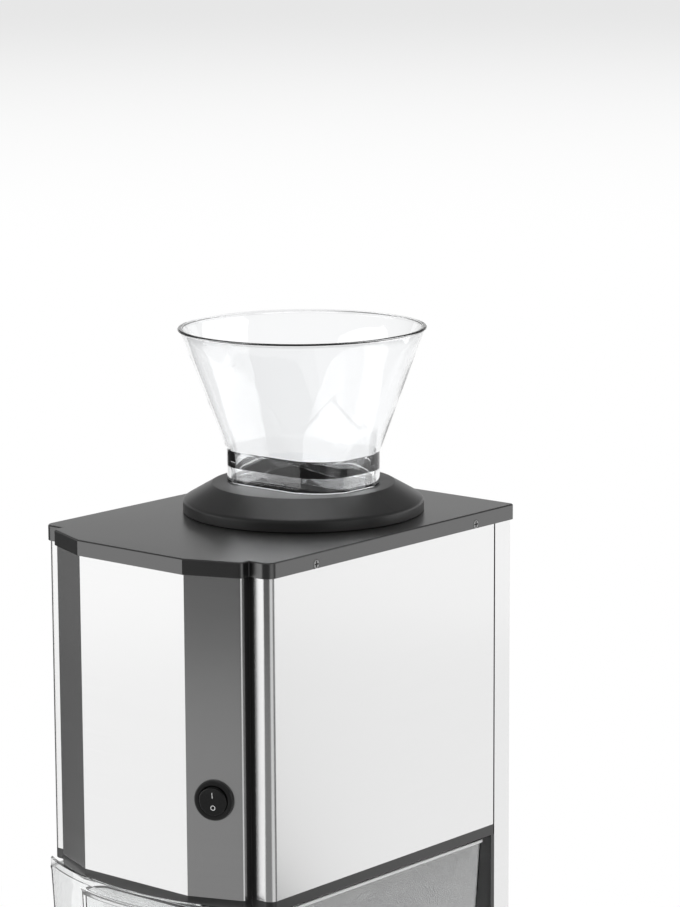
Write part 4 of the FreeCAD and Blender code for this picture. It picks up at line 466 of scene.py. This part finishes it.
def card_material(name, level):
    material = bpy.data.materials.new(name)
    tree = empty_tree(material)
    glow = add_node(tree, "ShaderNodeEmission", Color=opaque(grey(level)))
    add_node(tree, "ShaderNodeOutputMaterial", Surface=glow.outputs["Emission"])
    return material


# profiles of the cards: distance from the object and height, at the start and at the end
FLOOR_CARD = ((0.28, 0.002), (1.3, 0.002))
UPRIGHT_CARD = ((1.3, 0.002), (1.36, 0.5))
LOW_HIGH_CARD = ((1.6, 0.72), (1.5, 1.25))
TOP_HIGH_CARD = ((1.5, 1.25), (0.6, 2.3))
LOW_HIGH_LEVEL = 0.22
TOP_HIGH_LEVEL = 0.3
CARD_STEPS = 24


def make_card(name, start, end, profile, level):
    """A plain card round the object from azimuth start to end, seen in glossy surfaces alone."""
    points = []
    for i in range(CARD_STEPS + 1):
        azimuth = start + (end - start) * i / CARD_STEPS
        points.extend(around(azimuth, distance, height) for distance, height in profile)
    faces = [(2 * i, 2 * i + 1, 2 * i + 3, 2 * i + 2) for i in range(CARD_STEPS)]
    card = add_object(name, mesh_from(name, points, faces), card_material(name, level))
    card.visible_camera = False
    card.visible_diffuse = False
    card.visible_shadow = False
    card.visible_transmission = False


# name: first and last azimuth in degrees, brightness of the upright card and of the floor card
CARDS = {
    "card_key": (-66.0, -12.0, 1.34, 1.2),
    "card_front": (-12.0, 62.0, 0.1, 0.27),
    "card_fill": (62.0, 98.0, 0.8, 0.8),
    "card_corner": (98.0, 122.0, 0.16, 0.18),
    "card_side": (122.0, 168.0, 1.26, 1.14),
    "card_left": (-112.0, -66.0, 0.12, 0.1),
}


def make_cards():
    for name, (start, end, upright, low) in CARDS.items():
        make_card(name, start, end, UPRIGHT_CARD, upright)
        make_card(name + "_floor", start, end, FLOOR_CARD, low)
    make_card("card_high", -180.0, 180.0, LOW_HIGH_CARD, LOW_HIGH_LEVEL)
    make_card("card_higher", -180.0, 180.0, TOP_HIGH_CARD, TOP_HIGH_LEVEL)


def make_lamps():
    standing_box("key", azimuth=-40.0, distance=1.15, width=1.15, height=1.5, strength=2.4)
    standing_box("side", azimuth=139.0, distance=1.2, width=1.2, height=1.5, strength=2.6)
    softbox("top", TOP_LAMP_AT, TOP_LAMP_AIM, width=1.4, height=1.4, strength=1.0)


# ---------------------------------------------------------------- mesh helpers

# in metres and square metres, as the meshes are
MERGE = 1e-6
SMALL_FACE = 4e-6
FLAT_TURN = math.radians(0.3)
SHARP_TURN = math.radians(15.0)
SQUARE_TURN = math.radians(60.0)


def shade(mesh):
    """Smooth shading, with a crease where faces meet at more than the sharp angle."""
    mesh.polygons.foreach_set("use_smooth", [True] * len(mesh.polygons))
    mesh.set_sharp_from_angle(angle=SHARP_TURN)


def keep_flats(item):
    """Lets the large faces set the shading, so that they look flat beside their rounded edges."""
    weigh = item.modifiers.new("keep_flats", "WEIGHTED_NORMAL")
    weigh.mode = "FACE_AREA"
    weigh.weight = 100
    weigh.keep_sharp = True


def add_piece(node, mesh):
    """Puts a mesh in the place of a CAD node, with the node's finish and on its body."""
    dress(mesh, node)
    item = add_object(node + "_piece", mesh)
    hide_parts(node)
    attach(item, body_of[node])
    return item


def welded(node):
    """An editable copy of a CAD node's mesh, with its flat faces whole."""
    shape = bmesh.new()
    shape.from_mesh(nodes[node].data)
    bmesh.ops.remove_doubles(shape, verts=shape.verts, dist=MERGE)
    bmesh.ops.dissolve_limit(shape, angle_limit=FLAT_TURN, verts=shape.verts, edges=shape.edges)
    return shape


def is_sharp(edge):
    return len(edge.link_faces) == 2 and edge.calc_face_angle(0.0) > SHARP_TURN


def between_large(edge):
    """True off small holes and bends, whose short edges would cramp the rounding."""
    return all(face.calc_area() > SMALL_FACE for face in edge.link_faces)


def wholly_above(edge, level):
    return all(vert.co.z > level for vert in edge.verts)


def round_edges(shape, width, segments=3, wanted=between_large):
    edges = [edge for edge in shape.edges if is_sharp(edge) and wanted(edge)]
    bmesh.ops.bevel(
        shape, geom=edges, offset=width * MM, offset_type="OFFSET", segments=segments, profile=0.5,
        affect="EDGES", clamp_overlap=False,
    )


def place_copy(shape, node):
    """Puts an edited copy of a node's shape in the node's place."""
    mesh = bpy.data.meshes.new(node + "_piece")
    shape.normal_update()
    shape.to_mesh(mesh)
    shape.free()
    item = add_piece(node, mesh)
    keep_flats(item)
    return item


def make_rounded(node, width):
    """The node's own shape with its sharp edges rounded."""
    shape = welded(node)
    round_edges(shape, width)
    place_copy(shape, node)


def let_light_through(item):
    """Clear plastic passes the lamps' light on to what lies behind it."""
    item.visible_shadow = False


# widths of the rounded edges, in millimetres
EDGE_ROUNDS = {
    "corner_post_left": 0.4,
    "corner_post_right": 0.4,
    "mid_deck": 0.5,
    "base": 0.8,
}
COVER_BEND = 1.0
COVER_EDGE = 0.3
SCREW_EDGE = 0.35
DRAWER_EDGE = 0.25
# the raised lip and the rim below it lie within DRAWER_LIP of the drawer's highest point
DRAWER_LIP = 5.2
# a countersink's face leans between these shares of the screw's axis
SUNK_LEAST = 0.3
SUNK_MOST = 0.95


def make_cover():
    """The cover: its top bends into its rim, and its other edges are only broken."""
    shape = welded("top_cover")
    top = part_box("top_cover")[1].z

    def at_bend(edge):
        return between_large(edge) and wholly_above(edge, top - MERGE)

    def is_square(edge):
        return between_large(edge) and edge.calc_face_angle(0.0) > SQUARE_TURN

    round_edges(shape, COVER_BEND, segments=5, wanted=at_bend)
    round_edges(shape, COVER_EDGE, segments=2, wanted=is_square)
    place_copy(shape, "top_cover")


def make_cover_screws():
    """The rim's countersunk screws, whose rounded edges leave a dark ring round each head."""
    shape = welded("cover_screws")
    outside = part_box("cover_screws")[1].x

    def at_head(edge):
        sunk = any(SUNK_LEAST < abs(face.normal.x) < SUNK_MOST for face in edge.link_faces)
        return sunk and all(abs(vert.co.x) > outside - MERGE for vert in edge.verts)

    round_edges(shape, SCREW_EDGE, wanted=at_head)
    place_copy(shape, "cover_screws")


def make_drawer():
    """The clear drawer: the edges of its rim and of its raised lip are rounded."""
    shape = welded("drawer")
    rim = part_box("drawer")[1].z - DRAWER_LIP * MM

    def at_rim(edge):
        return between_large(edge) and wholly_above(edge, rim)

    round_edges(shape, DRAWER_EDGE, segments=2, wanted=at_rim)
    let_light_through(place_copy(shape, "drawer"))


# ---------------------------------------------------------------- loops and skins

PER_CORNER = 18
QUARTERS = ((1, 1), (-1, 1), (-1, -1), (1, -1))


def rounded_loop(half_x, half_y, radius):
    """A rectangle with round corners, as points round the middle."""
    loop = []
    for corner, (side_x, side_y) in enumerate(QUARTERS):
        centre = (side_x * (half_x - radius), side_y * (half_y - radius))
        loop += arc_points(centre, radius, corner * 90.0, (corner + 1) * 90.0, PER_CORNER)
    return loop


def arc_points(centre, radius, start, end, steps):
    """Points on an arc in a plane, in degrees from the plane's first axis."""
    points = []
    for i in range(steps + 1):
        turn = math.radians(start + (end - start) * i / steps)
        points.append((centre[0] + radius * math.cos(turn), centre[1] + radius * math.sin(turn)))
    return points


def level_loops(rows, middle_y, foot):
    """Loops in metres from rows of a level above the foot and a size: half width, half depth, corner."""
    loops = []
    for level, size in rows:
        loop = rounded_loop(*size)
        loops.append([(x * MM, (middle_y + y) * MM, (foot + level) * MM) for x, y in loop])
    return loops


def skin(name, loops, closed=True):
    """A surface through loops of as many points each; closed joins the last loop to the first."""
    count = len(loops[0])
    points = [point for loop in loops for point in loop]
    faces = []
    rows = len(loops) if closed else len(loops) - 1
    for row in range(rows):
        below = row * count
        above = (row + 1) % len(loops) * count
        for i in range(count):
            j = (i + 1) % count
            faces.append((below + i, below + j, above + j, above + i))
    return mesh_from(name, points, faces)


def box_corners(node):
    """A node's lowest and highest corner, in millimetres."""
    return [[length / MM for length in corner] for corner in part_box(node)]


def blended(one, other, share):
    return tuple(a + (b - a) * share for a, b in zip(one, other))


def inset(size, depth):
    return tuple(length - depth for length in size)


# ---------------------------------------------------------------- hopper

# sizes are half width, half depth and corner radius; levels are above the skirt's seat on the collar
SKIRT = (46.5, 34.5, 26.0)
SPOUT_TAPER = 6.1
SPOUT = inset(SKIRT, SPOUT_TAPER)
HOPPER_WALL = 2.2
HOPPER_BEVEL = 0.5
BEND_IN = 0.05
SPOUT_LOW = -8.2
SKIRT_LOW = 0.2
SKIRT_HIGH = 19.6
SPOUT_MEETS_SKIRT = SPOUT_LOW + (SKIRT_HIGH - SPOUT_LOW) * (SPOUT_TAPER - HOPPER_WALL) / SPOUT_TAPER
RIM_LEVEL = 96.6
RIM_FLAT = 1.8
RIM_OUTER_ROUND = 1.0
RIM_INNER_ROUND = 0.9
RIM_STEPS = 8
BEAD = 0.7
BEAD_LEVEL = 94.6

# rows of a level and how far the wall's face is inset there, in the order of the hopper's section
SKIRT_OUTSIDE = (
    (SKIRT_LOW + HOPPER_BEVEL, 0.0),
    (4.0, 0.0),
    (SKIRT_HIGH - 2.4, 0.0),
    (SKIRT_HIGH - 1.2, 0.0),
    (SKIRT_HIGH - 0.5, -BEND_IN),
)
WALL_OUTSIDE = (
    (SKIRT_HIGH + 0.6, BEND_IN),
    (SKIRT_HIGH + 1.4, 0.0),
    (SKIRT_HIGH + 3.0, 0.0),
    (50.0, 0.0),
    (80.0, 0.0),
    (BEAD_LEVEL - 0.8, 0.0),
    (BEAD_LEVEL - 0.2, -0.15),
    (BEAD_LEVEL + 0.1, -BEAD + 0.25),
    (BEAD_LEVEL + 0.35, -BEAD + 0.02),
)
WALL_INSIDE = (
    (RIM_LEVEL - 1.6, HOPPER_WALL),
    (80.0, HOPPER_WALL),
    (50.0, HOPPER_WALL),
    (SKIRT_HIGH + 2.5, HOPPER_WALL),
    (SKIRT_HIGH + 0.8, HOPPER_WALL + BEND_IN),
)
SPOUT_INSIDE = (
    (SKIRT_HIGH - 0.8, HOPPER_WALL + BEND_IN),
    (SKIRT_HIGH - 2.5, HOPPER_WALL),
    (0.0, HOPPER_WALL),
    (SPOUT_LOW + HOPPER_BEVEL, HOPPER_WALL),
)
SPOUT_OUTSIDE = (
    (SPOUT_LOW + HOPPER_BEVEL, 0.0),
    (0.0, 0.0),
    (SPOUT_MEETS_SKIRT - 1.5, 0.0),
)
SKIRT_INSIDE = (
    (SPOUT_MEETS_SKIRT, HOPPER_WALL + 0.15),
    (SPOUT_MEETS_SKIRT - 1.5, HOPPER_WALL),
    (SKIRT_LOW + HOPPER_BEVEL, HOPPER_WALL),
)


def upright_rows(rows):
    return [(level, inset(SKIRT, depth)) for level, depth in rows]


def flared_rows(rows, foot, foot_level, top, top_level):
    """Rows on a wall that flares from a size at its foot to a size at its top."""
    flared = []
    for level, depth in rows:
        share = (level - foot_level) / (top_level - foot_level)
        flared.append((level, inset(blended(foot, top, share), depth)))
    return flared


def spout_rows(rows):
    return flared_rows(rows, SPOUT, SPOUT_LOW, SKIRT, SKIRT_HIGH)


def bevelled_foot(size, level):
    """The foot's two edges, from its inside to its outside."""
    return [(level, inset(size, HOPPER_WALL - HOPPER_BEVEL)), (level, inset(size, HOPPER_BEVEL))]


def rim_rows(rim):
    """The rim's two round edges, from its outside to its inside."""
    outer = (RIM_OUTER_ROUND - BEAD, RIM_LEVEL - RIM_OUTER_ROUND)
    inner = (HOPPER_WALL - RIM_INNER_ROUND, RIM_LEVEL - RIM_INNER_ROUND)
    arc = arc_points(outer, RIM_OUTER_ROUND, 180.0, 90.0, RIM_STEPS)
    arc += arc_points(inner, RIM_INNER_ROUND, 90.0, 0.0, RIM_STEPS)
    return [(level, inset(rim, depth)) for depth, level in arc]


def make_hopper():
    """The clear funnel: a double skirt round the spout, flared walls and a beaded round rim."""
    (left, front, _), (right, back, top) = box_corners("hopper")
    half_x = (right - left) / 2 - BEAD
    half_y = (back - front) / 2 - BEAD
    rim = (half_x, half_y, half_x - RIM_FLAT)
    rows = upright_rows(SKIRT_OUTSIDE)
    rows += flared_rows(WALL_OUTSIDE, SKIRT, SKIRT_HIGH, rim, RIM_LEVEL)
    rows += rim_rows(rim)
    rows += flared_rows(WALL_INSIDE, SKIRT, SKIRT_HIGH, rim, RIM_LEVEL)
    rows += spout_rows(SPOUT_INSIDE) + bevelled_foot(SPOUT, SPOUT_LOW) + spout_rows(SPOUT_OUTSIDE)
    rows += upright_rows(SKIRT_INSIDE) + bevelled_foot(SKIRT, SKIRT_LOW)
    loops = level_loops(rows, (front + back) / 2, top - RIM_LEVEL)
    let_light_through(add_piece("hopper", skin("hopper_piece", loops)))


# ---------------------------------------------------------------- collar

# the upright band's height, the bevel above it, and the radius of the flat top
COLLAR_BAND = 5.6
COLLAR_BEVEL = 2.4
COLLAR_FLAT = 56.4
# the foot's bevel, and the radii of the bends from band to cone and from cone to top
COLLAR_FOOT = 0.4
COLLAR_SHOULDER = 2.6
COLLAR_BEND = 2.0
COLLAR_BEND_IN = 0.4
THROAT = (42.74, 30.74, 22.24)
THROAT_ROUND = 0.8
STRAIGHT_SIDE = 0.02


def ring_rows(points):
    """Round rows from points of radius and level, as squares that are nearly all corner."""
    return [(level, (radius, radius, radius - STRAIGHT_SIDE)) for radius, level in points]


def make_collar():
    """The round black collar: upright band, cone, flat top and the throat through it."""
    (left, front, foot), (right, back, top) = box_corners("hopper_collar")
    radius = (right - left) / 2
    rise = top - foot
    cone_rise = rise - COLLAR_BAND - COLLAR_BEVEL
    lean = 90.0 - math.degrees(math.atan2(cone_rise, radius - COLLAR_BEVEL - COLLAR_FLAT))
    shoulder = (radius - COLLAR_SHOULDER, COLLAR_BAND)
    bend = (COLLAR_FLAT - COLLAR_BEND_IN, rise - COLLAR_BEND)
    outside = [(radius - COLLAR_FOOT, 0.0), (radius, COLLAR_FOOT)]
    outside += arc_points(shoulder, COLLAR_SHOULDER, 0.0, lean, steps=5)
    outside += arc_points(bend, COLLAR_BEND, lean, 90.0, steps=4)
    lip = arc_points((-THROAT_ROUND, rise - THROAT_ROUND), THROAT_ROUND, 90.0, 0.0, steps=4)
    rows = ring_rows(outside)
    rows += [(level, inset(THROAT, depth)) for depth, level in lip]
    rows.append((0.0, THROAT))
    loops = level_loops(rows, (front + back) / 2, foot)
    add_piece("hopper_collar", skin("hopper_collar_piece", loops))


# ---------------------------------------------------------------- switch

UP = Vector((0.0, 0.0, 1.0))
ROUND_STEPS = 64
BEZEL_RADIUS = 12.2
BEZEL_INNER = 9.0
BEZEL_THICK = 2.2
BEZEL_ROUND = 1.2
BEZEL_INNER_ROUND = 0.5
ROCKER_RADIUS = 8.6
ROCKER_BACK = -2.5
ROCKER_FACE = 2.8
ROCKER_ROUND = 0.5
ROCKER_RINGS = 8
ROCKER_PIVOT = 1.0
ROCKER_DISH = 0.9
REST_TILT = math.radians(8.0)


def switch_axes():
    """The rocker's pivot, and the ways along the facet, up it and out of it."""
    joint = next(j for j in frame["joints"] if j["name"] == "rocker_tilt")
    along = -Vector(joint["axis"]).normalized()
    return Vector(joint["pos_m"]), along, UP, along.cross(UP)


def rocker_axes():
    """The same, tilted as the rocker is at rest."""
    pivot, along, up, out = switch_axes()
    tilted_up = up * math.cos(REST_TILT) + out * math.sin(REST_TILT)
    tilted_out = out * math.cos(REST_TILT) - up * math.sin(REST_TILT)
    return pivot, along, tilted_up, tilted_out


def on_axes(axes, u, v, w):
    """The point u along, v up and w out, in millimetres from the axes' own place."""
    place, along, up, out = axes
    return place + (along * u + up * v + out * w) * MM


def circle(u, v, radius):
    return arc_points((u, v), radius, 0.0, 360.0, ROUND_STEPS)[:-1]


def flat_face(u, v):
    return 0.0


def dished_face(u, v):
    """The rocker's face is hollow from top to bottom."""
    return -ROCKER_DISH * (1.0 - (v / ROCKER_RADIUS) ** 2)


def turned_rings(axes, rows, face=flat_face):
    """Rings from rows of radius and distance out, which the form of the face raises or lowers."""
    rings = []
    for radius, stand in rows:
        rings.append([on_axes(axes, u, v, stand + face(u, v)) for u, v in circle(0.0, 0.0, radius)])
    return rings


def make_bezel():
    """The switch's round frame, flat on the facet."""
    pivot, along, up, out = switch_axes()
    axes = (pivot - out * ROCKER_PIVOT * MM, along, up, out)
    outer = (BEZEL_RADIUS - BEZEL_ROUND, BEZEL_THICK - BEZEL_ROUND)
    inner = (BEZEL_INNER + BEZEL_INNER_ROUND, BEZEL_THICK - BEZEL_INNER_ROUND)
    rows = [(BEZEL_RADIUS, 0.0)]
    rows += arc_points(outer, BEZEL_ROUND, 0.0, 90.0, steps=6)
    rows += arc_points(inner, BEZEL_INNER_ROUND, 90.0, 180.0, steps=4)
    rows.append((BEZEL_INNER, 0.0))
    add_piece("switch_bezel", skin("switch_bezel_piece", turned_rings(axes, rows)))


def close_ends(mesh):
    """Fills the open ends of a mesh and turns its faces outwards."""
    shape = bmesh.new()
    shape.from_mesh(mesh)
    bmesh.ops.holes_fill(shape, edges=[edge for edge in shape.edges if edge.is_boundary])
    bmesh.ops.recalc_face_normals(shape, faces=shape.faces)
    shape.to_mesh(mesh)
    shape.free()


def make_rocker():
    """The round rocker, tilted as it rests, with its hollow face."""
    axes = rocker_axes()
    inside = ROCKER_RADIUS - ROCKER_ROUND
    rows = arc_points((inside, ROCKER_FACE - ROCKER_ROUND), ROCKER_ROUND, 0.0, 90.0, steps=4)
    rows += [(inside * (1 - i / ROCKER_RINGS), ROCKER_FACE) for i in range(1, ROCKER_RINGS)]
    loops = turned_rings(axes, [(ROCKER_RADIUS, ROCKER_BACK)]) + turned_rings(axes, rows, dished_face)
    mesh = skin("switch_rocker_piece", loops, closed=False)
    close_ends(mesh)
    add_piece("switch_rocker", mesh)


# the marks' distance from the pivot, the O's radius, the I's half length and the width of their lines
MARK_PLACE = 3.85
MARK_HALF = 1.55
BAR_HALF = 1.95
MARK_LINE = 0.5
MARK_LIFT = 0.04


def printed(points):
    """Flat points on the rocker's face, lifted just clear of it."""
    axes = rocker_axes()
    return [on_axes(axes, u, v, ROCKER_FACE + dished_face(u, v) + MARK_LIFT) for u, v in points]


def make_mark(mesh):
    mark = add_object(mesh.name, mesh, materials["switch_mark"])
    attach(mark, body_of["switch_rocker"])


def make_marks():
    """The usual I and O of a power switch, printed on the rocker's two halves."""
    side = MARK_LINE / 2
    low = MARK_PLACE - BAR_HALF
    high = MARK_PLACE + BAR_HALF
    bar = printed([(-side, low), (side, low), (side, high), (-side, high)])
    make_mark(mesh_from("mark_on", bar, [(0, 1, 2, 3)]))
    rings = [printed(circle(0.0, -MARK_PLACE, radius)) for radius in (MARK_HALF, MARK_HALF - MARK_LINE)]
    make_mark(skin("mark_off", rings, closed=False))


# ---------------------------------------------------------------- making

make_camera()
make_floor()
make_world()
make_lamps()
make_cards()
materials = make_materials()
dress_nodes()
make_hopper()
make_collar()
make_bezel()
make_rocker()
make_marks()
make_cover()
make_cover_screws()
for node, width in EDGE_ROUNDS.items():
    make_rounded(node, width)
make_drawer()

bpy.context.view_layer.update()
